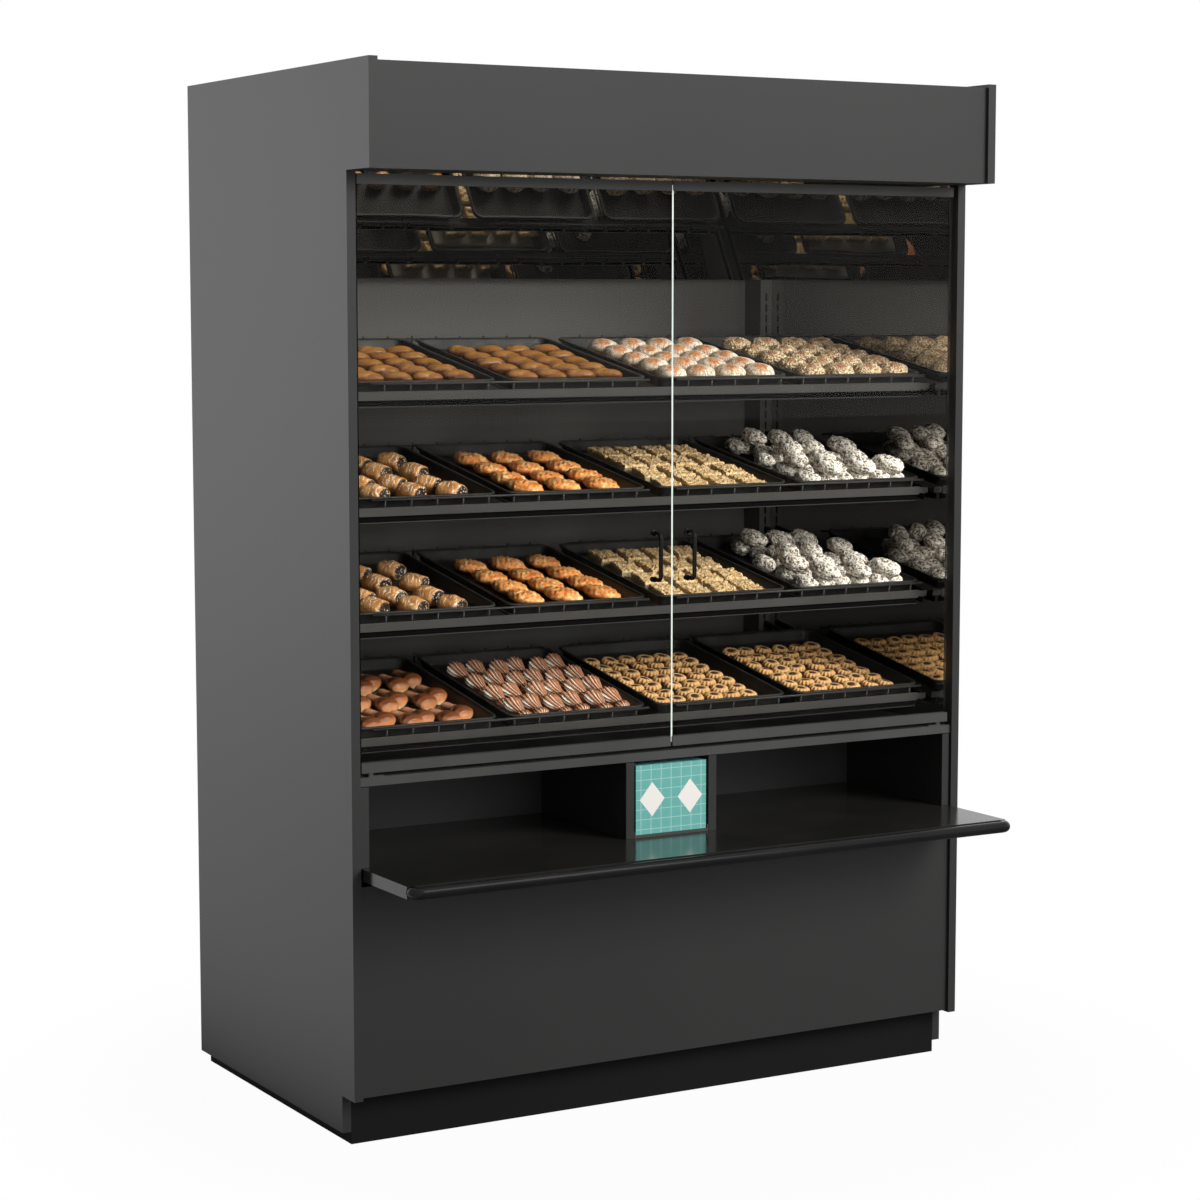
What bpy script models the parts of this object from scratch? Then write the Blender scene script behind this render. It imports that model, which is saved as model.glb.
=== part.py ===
"""Self-serve bakery display case: a tall black cabinet with two glass doors over four sloping
wire shelves of sheet pans, a bag ledge with two cubbies and a tissue carton, and a closed base.
Metres, +Z up. X runs along the width, the doors face -Y, the floor is at Z = 0."""
import math

import bmesh
import bpy
from mathutils import Matrix, Vector

# Clearances
FIT = 0.0003
CUT_OVERRUN = 0.001

# Facets of round pieces
BEND_STEPS = 4
SCREW_SIDES = 12
PIN_SIDES = 16

# Carcass
CASE_DEPTH = 0.7971
BOARD = 0.019
HEADER_REACH = 0.1024
HEADER_HEIGHT = 0.2084
FASCIA_SETBACK = 0.008
FASCIA_DROP = 0.0065
TOE_HEIGHT = 0.1015
TOE_DEPTH = 0.0576
SIDE_LIFT = 0.0256
BACK_THICKNESS = 0.006
ROOF_DROP = 0.045
PLINTH_MIDDLE = 0.4209
LOWER_PANEL_SETBACK = 0.008
LOWER_PANEL_LAP = 0.004
SILL_SETBACK = 0.006
CLEAT_WIDTH = 0.020
CLEAT_HEIGHT = 0.025
CLEAT_SETBACK = 0.040

# Sloped top panel, lamp and power inlet
TOP_PANEL_THICKNESS = 0.003
TOP_PANEL_ANGLE = math.radians(54.6)
TOP_PANEL_DROP = 0.1986
TOP_PANEL_FLANGE = 0.025
LAMP_RISE = 0.002
LAMP_DEPTH = 0.026
LAMP_HEIGHT = 0.0145
LAMP_END_GAP = 0.060
LENS_DEPTH = 0.020
LENS_HEIGHT = 0.0025
INLET_WIDTH = 0.110
INLET_DEPTH = 0.070
INLET_HEIGHT = 0.038
INLET_SETBACK = 0.120

# Doors
SILL_HEIGHT = 0.0177
DOOR_HEAD_GAP = 0.0054
DOOR_SILL_GAP = 0.0078
DOOR_SIDE_GAP = 0.0065
DOOR_CENTRE_GAP = 0.0043
DOOR_SETBACK = 0.008
RAIL_HEIGHT = 0.020
RAIL_THICKNESS = 0.016
GLASS_THICKNESS = 0.006
GLASS_BITE = 0.012
GLASS_SETBACK = 0.005
GLASS_EDGE_INSET = 0.002
PIVOT_INSET = 0.022
PIVOT_PLATE_REACH = 0.034
PIVOT_PLATE_WIDTH = 0.014
PIVOT_PLATE_THICKNESS = 0.002
PIVOT_PIN_RADIUS = 0.004
PIVOT_PIN_LENGTH = 0.006
PIVOT_BORE_CLEARANCE = 0.0005
PIVOT_BOSS_RADIUS = 0.0065
HANDLE_INSET = 0.0384
HANDLE_RISE = 0.3977
HANDLE_SPACING = 0.096
HANDLE_REACH = 0.027
HANDLE_RADIUS = 0.0045
HANDLE_BEND = 0.009
SCREW_RADIUS = 0.0022
SCREW_HEAD_RADIUS = 0.0055
SCREW_HEAD_HEIGHT = 0.003
SCREW_CLEARANCE = 0.0005

# Bag ledge, cubbies and tissue carton
LEDGE_TOP = 0.568
LEDGE_THICKNESS = 0.0245
LEDGE_REACH = 0.197
LEDGE_SIDE_GAP = 0.002
LEDGE_REVEAL = 0.0135
BUMPER_RADIUS = 0.012
BUMPER_OFFSET = 0.020
BUMPER_BEND = 0.014
BUMPER_DROP = 0.0115
BUMPER_INSET = 0.0194
CUBBY_HEIGHT = 0.1605
CUBBY_DEPTH = 0.371
CUBBY_BACK_THICKNESS = 0.012
LINER_THICKNESS = 0.018
DIVIDER_CENTRE = 0.1003
DIVIDER_SETBACK = 0.008
TRAY_SIDE_GAP = 0.001
TRAY_BASE = 0.006
TRAY_WALL = 0.0025
TRAY_RIM = 0.014
TRAY_DEPTH = 0.300
CARTON_SIDE_GAP = 0.0018
CARTON_HEADROOM = 0.0087
CARTON_DEPTH = 0.270
CARTON_SETBACK = 0.002

# Shelves
SHELF_COUNT = 4
SHELF_SLOPE = math.radians(10)
SHELF_SEAT_Y = 0.091
LOW_SEAT_RISE = 0.061
TOP_BAY_HEIGHT = 0.4309
SLOT_PITCH = 0.0254
SHELF_SLOTS = 9
UPRIGHT_WIDTH = 0.032
UPRIGHT_DEPTH = 0.068
UPRIGHT_SIDE_GAP = 0.003
SLOT_WIDTH = 0.005
SLOT_HEIGHT = 0.018
SLOT_DEPTH = 0.004
SLOT_PLAY = 0.006
HOOK_GAP = 0.0005
HOOK_SLOTS = 3
HOOK_DROP = 0.014
ARM_THICKNESS = 0.003
ARM_FRONT_HEIGHT = 0.016
RISER_DEPTH = 0.034
TAB_WIDTH = 0.034
TAB_OUTREACH = 0.008
TAB_THICKNESS = 0.0025
TAB_DROP = 0.0025
PRICE_RAIL_FRONT = -0.0105
PRICE_RAIL_THICKNESS = 0.0025
PRICE_RAIL_TOP = 0.0061
PRICE_RAIL_DROP = 0.0011
PRICE_RAIL_END_GAP = 0.0136
WEB_DEPTH = 0.034
WEB_THICKNESS = 0.003
SKIRT_SETBACK = 0.006
SKIRT_DROP = 0.014
LIP_THICKNESS = 0.002
REAR_RAIL_WIDTH = 0.025
REAR_RAIL_HEIGHT = 0.020

# Wire grids
GRID_LEFT_GAP = 0.0472
GRID_MIDDLE_GAP = 0.066
GRID_RIGHT_GAP = 0.004
WIRE_RADIUS = 0.002
WELD_DEPTH = 0.0008
ROD_RADIUS = 0.0026
ROD_FRONT = -0.0055
ROD_RISE = 0.0205
GRID_DEPTH = 0.4655
WIRE_COUNT = 11
WIRE_END_GAP = 0.030
WIRE_HORN = 0.0035
CROSS_WIRE_SHARES = (0.042, 0.5, 0.955)

# Sheet pans
PAN_COUNT = 4
PAN_WIDTH = 0.330
PAN_LENGTH = 0.450
PAN_HEIGHT = 0.0254
PAN_GAP = 0.022
PAN_END_GAP = 0.0036
PAN_ROD_GAP = 0.0004
PAN_CORNER = 0.026
PAN_FLANGE = 0.008
PAN_RIM_HEIGHT = 0.0045
PAN_SHEET = 0.0015
PAN_TAPER = 0.007
PAN_CORNER_STEPS = 2

# Widths follow from the row of pans that the case is built around
PAN_PITCH = PAN_WIDTH + PAN_GAP
PAN_ROW = PAN_COUNT * PAN_PITCH - PAN_GAP
ARM_INNER_X = PAN_ROW / 2 + PAN_END_GAP
UPRIGHT_X = ARM_INNER_X + ARM_THICKNESS / 2
UPRIGHT_OUTER_X = UPRIGHT_X + UPRIGHT_WIDTH / 2
INNER_X = UPRIGHT_OUTER_X + UPRIGHT_SIDE_GAP
PANEL_X = INNER_X + FIT
HALF_WIDTH = PANEL_X + BOARD

# Heights follow from the ledge, the cubbies and the shelves
LEDGE_BOTTOM = LEDGE_TOP - LEDGE_THICKNESS
DECK_BOTTOM = LEDGE_TOP + CUBBY_HEIGHT
SILL_TOP = DECK_BOTTOM + BOARD
SHELF_SPACING = SLOT_PITCH * SHELF_SLOTS
SEATS = [SILL_TOP + LOW_SEAT_RISE + SHELF_SPACING * number for number in reversed(range(SHELF_COUNT))]
HEADER_Z = SEATS[0] + TOP_BAY_HEIGHT
CASE_HEIGHT = HEADER_Z + HEADER_HEIGHT

# Depths are centred on the whole box's footprint, from the bumper to the back
BUMPER_FRONT = LEDGE_REACH + BUMPER_OFFSET + BUMPER_RADIUS
FRONT_Y = (BUMPER_FRONT - CASE_DEPTH) / 2
REAR_Y = FRONT_Y + CASE_DEPTH
BACK_Y = REAR_Y - BACK_THICKNESS - FIT


def clear_scene():
    for item in list(bpy.data.objects):
        bpy.data.objects.remove(item, do_unlink=True)


clear_scene()
case_collection = bpy.data.collections.new("bakery_display_case")
bpy.context.scene.collection.children.link(case_collection)
cutter_collection = bpy.data.collections.new("cutters")
bpy.context.scene.collection.children.link(cutter_collection)


# Materials
def make_material(name, color, roughness, metallic=0.0, transmission=0.0):
    material = bpy.data.materials.new(name)
    material.use_nodes = True
    shader = material.node_tree.nodes["Principled BSDF"]
    shader.inputs["Base Color"].default_value = (*color, 1.0)
    shader.inputs["Roughness"].default_value = roughness
    shader.inputs["Metallic"].default_value = metallic
    shader.inputs["Transmission Weight"].default_value = transmission
    material.diffuse_color = (*color, 1.0)
    return material


laminate = make_material("black_laminate", (0.035, 0.035, 0.034), 0.45)
plinth_black = make_material("plinth_black", (0.012, 0.012, 0.012), 0.55)
gloss_black = make_material("gloss_black", (0.010, 0.010, 0.010), 0.08)
ledge_laminate = make_material("ledge_laminate", (0.016, 0.016, 0.016), 0.15)
black_metal = make_material("black_powder_coat", (0.040, 0.040, 0.040), 0.38, metallic=0.3)
wire_black = make_material("black_wire", (0.030, 0.030, 0.030), 0.35, metallic=0.4)
pan_black = make_material("black_sheet_pan", (0.018, 0.018, 0.020), 0.40, metallic=0.5)
glass = make_material("door_glass", (0.93, 0.97, 0.95), 0.02, transmission=1.0)
carton_teal = make_material("carton_teal", (0.110, 0.480, 0.430), 0.55)


# Object helpers
def add_object(name, data, material, parent=None):
    item = bpy.data.objects.new(name, data)
    item.data.materials.clear()
    item.data.materials.append(material)
    case_collection.objects.link(item)
    item.parent = parent
    return item


def mesh_from(bm, name):
    bmesh.ops.recalc_face_normals(bm, faces=bm.faces)
    mesh = bpy.data.meshes.new(name)
    bm.to_mesh(mesh)
    bm.free()
    return mesh


def add_block(bm, low, high):
    """A box between two corners."""
    low, high = Vector(low), Vector(high)
    size = Matrix.Diagonal((*(high - low), 1.0))
    bmesh.ops.create_cube(bm, size=1.0, matrix=Matrix.Translation((low + high) / 2) @ size)


def add_cylinder(bm, start, end, radius, segments=PIN_SIDES):
    """A cylinder between two points."""
    start, end = Vector(start), Vector(end)
    axis = end - start
    turn = axis.to_track_quat("Z", "Y").to_matrix().to_4x4()
    place = Matrix.Translation((start + end) / 2) @ turn
    bmesh.ops.create_cone(bm, cap_ends=True, segments=segments, radius1=radius, radius2=radius,
                          depth=axis.length, matrix=place)


def block(name, low, high, material, parent=None):
    bm = bmesh.new()
    add_block(bm, low, high)
    return add_object(name, mesh_from(bm, name), material, parent)


def mirrored(low, high):
    """The same box on the other side of the case's middle."""
    return (-high[0], low[1], low[2]), (-low[0], high[1], high[2])


def ordered(side, near, far):
    """Low and high X of a span that runs outwards on one side of the middle."""
    return sorted((side * near, side * far))


def cutter(name, bm):
    item = bpy.data.objects.new(name, mesh_from(bm, name))
    item.hide_render = True
    item.display_type = "WIRE"
    cutter_collection.objects.link(item)
    return item


def boolean(item, other, operation="DIFFERENCE"):
    modifier = item.modifiers.new(operation.lower() + "_" + other.name, "BOOLEAN")
    modifier.operation = operation
    modifier.solver = "EXACT"
    modifier.object = other


def join_blocks(item, corners):
    """Glues boxes onto an object, each of which reaches into what is there already."""
    for number, (low, high) in enumerate(corners):
        bm = bmesh.new()
        add_block(bm, low, high)
        boolean(item, cutter("%s_joined_%d" % (item.name, number), bm), "UNION")


PROFILE_TURN = Matrix(((0, 0, 1, 0), (1, 0, 0, 0), (0, 1, 0, 0), (0, 0, 0, 1)))


def profile(name, outline, x_low, x_high, material):
    """A straight piece whose section is drawn in (Y, Z) and runs along X."""
    curve = bpy.data.curves.new(name, "CURVE")
    curve.dimensions = "2D"
    curve.fill_mode = "BOTH"
    curve.extrude = (x_high - x_low) / 2
    spline = curve.splines.new("POLY")
    spline.points.add(len(outline) - 1)
    for point, (y, z) in zip(spline.points, outline):
        point.co = (y, z, 0.0, 1.0)
    spline.use_cyclic_u = True
    item = add_object(name, curve, material)
    item.matrix_local = Matrix.Translation(((x_low + x_high) / 2, 0, 0)) @ PROFILE_TURN
    return item


def solid_mesh(item):
    """The welded mesh of a curve object in world space; the object itself is removed."""
    bpy.context.view_layer.update()
    graph = bpy.context.evaluated_depsgraph_get()
    mesh = bpy.data.meshes.new_from_object(item.evaluated_get(graph))
    mesh.transform(item.matrix_world)
    bpy.data.objects.remove(item, do_unlink=True)
    bm = bmesh.new()
    bm.from_mesh(mesh)
    bmesh.ops.remove_doubles(bm, verts=bm.verts, dist=FIT / 10)
    bmesh.ops.recalc_face_normals(bm, faces=bm.faces)
    bm.to_mesh(mesh)
    bm.free()
    return mesh


def add_profile(bm, outline, x_low, x_high):
    """Adds a straight piece of constant section to a mesh that is being built."""
    bm.from_mesh(solid_mesh(profile("profile_blank", outline, x_low, x_high, black_metal)))


def solid_profile(name, outline, x_low, x_high, material):
    """A profile made a mesh, so that it can be cut and joined."""
    return add_object(name, solid_mesh(profile(name + "_blank", outline, x_low, x_high, material)), material)


def round_wire(points, radius, resolution):
    """A wire or tube with closed ends along straight runs between points."""
    curve = bpy.data.curves.new("wire_path", "CURVE")
    curve.dimensions = "3D"
    curve.bevel_depth = radius
    curve.bevel_resolution = resolution
    curve.use_fill_caps = True
    spline = curve.splines.new("POLY")
    spline.points.add(len(points) - 1)
    for point, place in zip(spline.points, points):
        point.co = (*place, 1.0)
    return curve


def bend_points(before, corner, after, radius, steps):
    """Points along the round bend at a corner between two straight runs."""
    before, corner, after = Vector(before), Vector(corner), Vector(after)
    start = corner + (before - corner).normalized() * radius
    end = corner + (after - corner).normalized() * radius
    centre = start + end - corner
    points = []
    for step in range(steps + 1):
        angle = math.pi / 2 * step / steps
        points.append(centre + (start - centre) * math.cos(angle) + (end - centre) * math.sin(angle))
    return points


# Carcass panels
def side_panel(name, side):
    """A side with its toe notch and header reach, and a glued cleat that carries the ledge."""
    outline = [
        (REAR_Y, SIDE_LIFT), (REAR_Y, CASE_HEIGHT),
        (FRONT_Y - HEADER_REACH, CASE_HEIGHT), (FRONT_Y - HEADER_REACH, HEADER_Z),
        (FRONT_Y, HEADER_Z), (FRONT_Y, TOE_HEIGHT),
        (FRONT_Y + TOE_DEPTH, TOE_HEIGHT), (FRONT_Y + TOE_DEPTH, SIDE_LIFT)]
    x_low, x_high = ordered(side, PANEL_X, HALF_WIDTH)
    item = solid_profile(name, outline, x_low, x_high, laminate)
    cleat_top = LEDGE_BOTTOM - FIT
    x_low, x_high = ordered(side, PANEL_X - CLEAT_WIDTH, PANEL_X + BOARD / 2)
    join_blocks(item, [((x_low, FRONT_Y + CLEAT_SETBACK, cleat_top - CLEAT_HEIGHT),
                        (x_high, FRONT_Y + CUBBY_DEPTH, cleat_top))])


side_panel("left_side_panel", -1)
side_panel("right_side_panel", 1)

ROOF_TOP = CASE_HEIGHT - ROOF_DROP
FASCIA_Y = FRONT_Y - HEADER_REACH + FASCIA_SETBACK
FASCIA_BACK = FASCIA_Y + BOARD + FIT
SOFFIT_REAR = FRONT_Y + DOOR_SETBACK + BOARD
LOWER_PANEL_Y = FRONT_Y + LOWER_PANEL_SETBACK
SILL_Y = FRONT_Y + SILL_SETBACK

block("back_panel", (-INNER_X, REAR_Y - BACK_THICKNESS, TOE_HEIGHT), (INNER_X, REAR_Y, ROOF_TOP), laminate)
block("header_fascia", (-INNER_X, FASCIA_Y, HEADER_Z),
      (INNER_X, FASCIA_Y + BOARD, CASE_HEIGHT - FASCIA_DROP), laminate)
block("header_soffit", (-INNER_X, FASCIA_BACK, HEADER_Z), (INNER_X, SOFFIT_REAR, HEADER_Z + BOARD), laminate)
block("lower_front_panel", (-INNER_X, LOWER_PANEL_Y, TOE_HEIGHT + LOWER_PANEL_LAP),
      (INNER_X, LOWER_PANEL_Y + BOARD, LEDGE_BOTTOM - LEDGE_REVEAL), laminate)
block("display_deck", (-INNER_X, SILL_Y + BOARD + FIT, DECK_BOTTOM), (INNER_X, BACK_Y, SILL_TOP), laminate)


def roof_panel():
    """The roof, with the power inlet's box on it and a recess for its socket."""
    item = block("roof_panel", (-INNER_X, FASCIA_BACK, ROOF_TOP - BOARD), (INNER_X, BACK_Y, ROOF_TOP),
                 laminate)
    centre_x = INNER_X / 2
    rear = BACK_Y - INLET_SETBACK
    join_blocks(item, [((centre_x - INLET_WIDTH / 2, rear - INLET_DEPTH, ROOF_TOP - BOARD / 2),
                        (centre_x + INLET_WIDTH / 2, rear, ROOF_TOP + INLET_HEIGHT))])
    recess = bmesh.new()
    add_block(recess, (centre_x - INLET_WIDTH / 6, rear - INLET_DEPTH / 4, ROOF_TOP + INLET_HEIGHT / 4),
              (centre_x + INLET_WIDTH / 6, rear + CUT_OVERRUN, ROOF_TOP + INLET_HEIGHT * 3 / 4))
    boolean(item, cutter("inlet_recess", recess))


roof_panel()


# Plinth: boards on edge that stand on the floor, with the cabinet's floor on them
def plinth_frame():
    """Boards around the base and one across its middle; the front one is the kick board."""
    front = FRONT_Y + TOE_DEPTH
    middle = FRONT_Y + PLINTH_MIDDLE
    inner = INNER_X - BOARD
    item = block("plinth_frame", (-INNER_X, front, 0), (INNER_X, BACK_Y, TOE_HEIGHT - FIT), plinth_black)
    for number, (near, far) in enumerate([(front + BOARD, middle), (middle + BOARD, BACK_Y - BOARD)]):
        hollow = bmesh.new()
        add_block(hollow, (-inner, near, -CUT_OVERRUN), (inner, far, TOE_HEIGHT + CUT_OVERRUN))
        boolean(item, cutter("plinth_hollow_%d" % number, hollow))


plinth_frame()
block("cabinet_floor", (-INNER_X, LOWER_PANEL_Y + BOARD + FIT, TOE_HEIGHT),
      (INNER_X, BACK_Y, TOE_HEIGHT + BOARD), plinth_black)

# Sloped top panel and lamp
UPRIGHT_Y = BACK_Y - UPRIGHT_DEPTH
TOP_PANEL_LOW = HEADER_Z - TOP_PANEL_DROP


def sloped_top_panel():
    """A bent sheet across the top rear corner, with flanges on the uprights and under the roof."""
    low = TOP_PANEL_LOW
    high = ROOF_TOP - BOARD - FIT
    high_y = UPRIGHT_Y - (high - low) / math.tan(TOP_PANEL_ANGLE)
    half_turn = math.tan(TOP_PANEL_ANGLE / 2)
    thick = TOP_PANEL_THICKNESS
    profile("sloped_top_panel", [
        (BACK_Y, low), (UPRIGHT_Y, low), (high_y, high), (high_y + TOP_PANEL_FLANGE, high),
        (high_y + TOP_PANEL_FLANGE, high - thick), (high_y + thick / half_turn, high - thick),
        (UPRIGHT_Y + thick * half_turn, low + thick), (BACK_Y, low + thick)],
        -INNER_X, INNER_X, gloss_black)


sloped_top_panel()


def canopy_light():
    """A lamp channel on the soffit's rear edge, with its lens along the bottom."""
    front = SOFFIT_REAR + FIT
    rear = front + LAMP_DEPTH
    lip = (LAMP_DEPTH - LENS_DEPTH) / 2
    lens = HEADER_Z + LAMP_RISE
    low = lens + LENS_HEIGHT
    high = low + LAMP_HEIGHT
    outline = [
        (front, high), (front, low), (front + lip, low), (front + lip, lens),
        (rear - lip, lens), (rear - lip, low), (rear, low), (rear, high)]
    profile("canopy_light", outline, LAMP_END_GAP - INNER_X, INNER_X - LAMP_END_GAP, black_metal)


canopy_light()

# Bag ledge with its bumper, and the cubbies above it
LEDGE_X = INNER_X - LEDGE_SIDE_GAP
LEDGE_FRONT = FRONT_Y - LEDGE_REACH
CUBBY_Y = FRONT_Y + CUBBY_DEPTH
CUBBY_REAR = CUBBY_Y + CUBBY_BACK_THICKNESS
CUBBY_LOW = LEDGE_TOP + FIT
CUBBY_HIGH = DECK_BOTTOM - FIT
block("bag_ledge", (-LEDGE_X, LEDGE_FRONT, LEDGE_BOTTOM), (LEDGE_X, CUBBY_REAR, LEDGE_TOP),
      ledge_laminate)
cubby_shell = block("cubby_shell", (-LEDGE_X, CUBBY_Y, CUBBY_LOW), (LEDGE_X, CUBBY_REAR, CUBBY_HIGH),
                    laminate)
liner = ((LEDGE_X - LINER_THICKNESS, SILL_Y, CUBBY_LOW),
         (LEDGE_X, CUBBY_Y + CUBBY_BACK_THICKNESS / 2, CUBBY_HIGH))
join_blocks(cubby_shell, [liner, mirrored(*liner)])
divider = ((DIVIDER_CENTRE - BOARD / 2, FRONT_Y + DIVIDER_SETBACK, CUBBY_LOW),
           (DIVIDER_CENTRE + BOARD / 2, CUBBY_Y - FIT, CUBBY_HIGH))
block("right_cubby_divider", *divider, laminate)
block("left_cubby_divider", *mirrored(*divider), laminate)


def ledge_bumper():
    """A round rail in front of the ledge, whose ends bend back to the ledge's front edge."""
    end_x = HALF_WIDTH - BUMPER_INSET - BUMPER_RADIUS
    rail_y = LEDGE_FRONT - BUMPER_OFFSET
    rail_z = LEDGE_TOP - BUMPER_DROP
    foot = (-end_x, LEDGE_FRONT - FIT, rail_z)
    corner = (-end_x, rail_y, rail_z)
    left = [Vector(foot)] + bend_points(foot, corner, (0, rail_y, rail_z), BUMPER_BEND, BEND_STEPS)
    right = [Vector((-point.x, point.y, point.z)) for point in reversed(left)]
    add_object("ledge_bumper", round_wire(left + right, BUMPER_RADIUS, resolution=3), black_metal)


ledge_bumper()

# Tissue carton on its tray between the dividers
TRAY_X = DIVIDER_CENTRE - BOARD / 2 - TRAY_SIDE_GAP
TRAY_Y = FRONT_Y + DIVIDER_SETBACK
tray_wall = ((TRAY_X - TRAY_WALL, TRAY_Y, CUBBY_LOW), (TRAY_X, TRAY_Y + TRAY_DEPTH, CUBBY_LOW + TRAY_RIM))
tissue_tray = block("tissue_tray", (-TRAY_X + TRAY_WALL / 2, TRAY_Y, CUBBY_LOW),
                    (TRAY_X - TRAY_WALL / 2, TRAY_Y + TRAY_DEPTH, CUBBY_LOW + TRAY_BASE), black_metal)
join_blocks(tissue_tray, [tray_wall, mirrored(*tray_wall)])


def tissue_carton():
    """The closed carton, flat on every side."""
    front = TRAY_Y + CARTON_SETBACK
    low = CUBBY_LOW + TRAY_BASE + FIT
    high = DECK_BOTTOM - CARTON_HEADROOM
    half = TRAY_X - TRAY_WALL - CARTON_SIDE_GAP
    block("tissue_carton", (-half, front, low), (half, front + CARTON_DEPTH, high), carton_teal)


tissue_carton()

# Slotted uprights
UPRIGHT_LOW = SILL_TOP + FIT
UPRIGHT_TOP = TOP_PANEL_LOW - FIT
ARM_Y = UPRIGHT_Y - FIT


def slope_point(seat_z, along, up):
    """World (Y, Z) of a point given along and square to a shelf's slope."""
    y = FRONT_Y + SHELF_SEAT_Y + along * math.cos(SHELF_SLOPE) - up * math.sin(SHELF_SLOPE)
    z = seat_z + along * math.sin(SHELF_SLOPE) + up * math.cos(SHELF_SLOPE)
    return y, z


# Heights and places in a shelf's own tilted frame, whose zero is the pans' seat
CROSS_WIRE_Z = WELD_DEPTH - WIRE_RADIUS * 3
FRAME_TOP = CROSS_WIRE_Z - WIRE_RADIUS - FIT
PRICE_RAIL_BACK = PRICE_RAIL_FRONT + PRICE_RAIL_THICKNESS
TAB_BACK = PRICE_RAIL_BACK + TAB_THICKNESS
TAB_TOP = PRICE_RAIL_TOP - TAB_DROP
REAR_ROD_Y = ROD_FRONT + GRID_DEPTH
CROSS_WIRE_PLACES = [ROD_FRONT + GRID_DEPTH * share for share in CROSS_WIRE_SHARES]
ARM_RUN = (ARM_Y - FRONT_Y - SHELF_SEAT_Y + FRAME_TOP * math.sin(SHELF_SLOPE)) / math.cos(SHELF_SLOPE)
ARM_RISE = slope_point(0, ARM_RUN, FRAME_TOP)[1]


def slot_centres():
    """Heights of the slots, in step with the top shelf's upper hook."""
    upper_hook = SEATS[0] + ARM_RISE - HOOK_DROP
    below = int((upper_hook - UPRIGHT_LOW - SLOT_PITCH) / SLOT_PITCH)
    above = int((UPRIGHT_TOP - SLOT_PITCH - upper_hook) / SLOT_PITCH)
    return [upper_hook + SLOT_PITCH * step for step in range(-below, above + 1)]


def shelf_upright(name, side):
    x_low, x_high = ordered(side, UPRIGHT_OUTER_X - UPRIGHT_WIDTH, UPRIGHT_OUTER_X)
    item = block(name, (x_low, UPRIGHT_Y, UPRIGHT_LOW), (x_high, BACK_Y, UPRIGHT_TOP), black_metal)
    slots = bmesh.new()
    centre = side * UPRIGHT_X
    for z in slot_centres():
        add_block(slots, (centre - SLOT_WIDTH / 2, UPRIGHT_Y - CUT_OVERRUN, z - SLOT_HEIGHT / 2),
                  (centre + SLOT_WIDTH / 2, UPRIGHT_Y + SLOT_DEPTH, z + SLOT_HEIGHT / 2))
    boolean(item, cutter(name + "_slots", slots))


shelf_upright("left_upright", -1)
shelf_upright("right_upright", 1)


# Shelf frames: two hooked arms, the price rail across their front and a rail near the rear
def arm_outline(seat_z):
    """Side view of an arm with its two hooks and the riser behind the price rail."""
    rear_top = seat_z + ARM_RISE
    hook_tip = UPRIGHT_Y + SLOT_DEPTH - HOOK_GAP
    hook_half = (SLOT_HEIGHT - SLOT_PLAY) / 2
    outline = [slope_point(seat_z, PRICE_RAIL_BACK, FRAME_TOP - ARM_FRONT_HEIGHT),
               (ARM_Y, rear_top - 2 * HOOK_DROP - HOOK_SLOTS * SLOT_PITCH)]
    for slots_down in (HOOK_SLOTS, 0):
        centre = rear_top - HOOK_DROP - slots_down * SLOT_PITCH
        outline += [(ARM_Y, centre - hook_half), (hook_tip, centre - hook_half),
                    (hook_tip, centre + hook_half), (ARM_Y, centre + hook_half)]
    outline += [(ARM_Y, rear_top), slope_point(seat_z, PRICE_RAIL_BACK + RISER_DEPTH, FRAME_TOP),
                slope_point(seat_z, TAB_BACK, TAB_TOP), slope_point(seat_z, PRICE_RAIL_BACK, TAB_TOP)]
    return outline


def rail_profile(seat_z):
    """Section of the price rail: its face, the web that the grids rest on, and a skirt with a lip."""
    web_low = FRAME_TOP - WEB_THICKNESS
    face_low = web_low - PRICE_RAIL_DROP
    skirt_front = PRICE_RAIL_FRONT + SKIRT_SETBACK
    skirt_low = face_low - SKIRT_DROP
    lip_front = PRICE_RAIL_FRONT + LIP_THICKNESS
    points = [
        (PRICE_RAIL_FRONT, face_low), (PRICE_RAIL_FRONT, PRICE_RAIL_TOP), (PRICE_RAIL_BACK, PRICE_RAIL_TOP),
        (PRICE_RAIL_BACK, FRAME_TOP), (PRICE_RAIL_FRONT + WEB_DEPTH, FRAME_TOP),
        (PRICE_RAIL_FRONT + WEB_DEPTH, web_low), (skirt_front + WEB_THICKNESS, web_low),
        (skirt_front + WEB_THICKNESS, skirt_low), (lip_front, skirt_low),
        (lip_front, skirt_low + LIP_THICKNESS), (skirt_front, skirt_low + LIP_THICKNESS),
        (skirt_front, face_low)]
    return [slope_point(seat_z, along, up) for along, up in points]


def slope_box(seat_z, along_low, along_high, low, high):
    """Side view of a box that is square to a shelf's slope."""
    corners = [(along_low, low), (along_high, low), (along_high, high), (along_low, high)]
    return [slope_point(seat_z, along, up) for along, up in corners]


def joined_profile(item, name, outline, x_low, x_high):
    bm = bmesh.new()
    add_profile(bm, outline, x_low, x_high)
    boolean(item, cutter(name, bm), "UNION")


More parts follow.
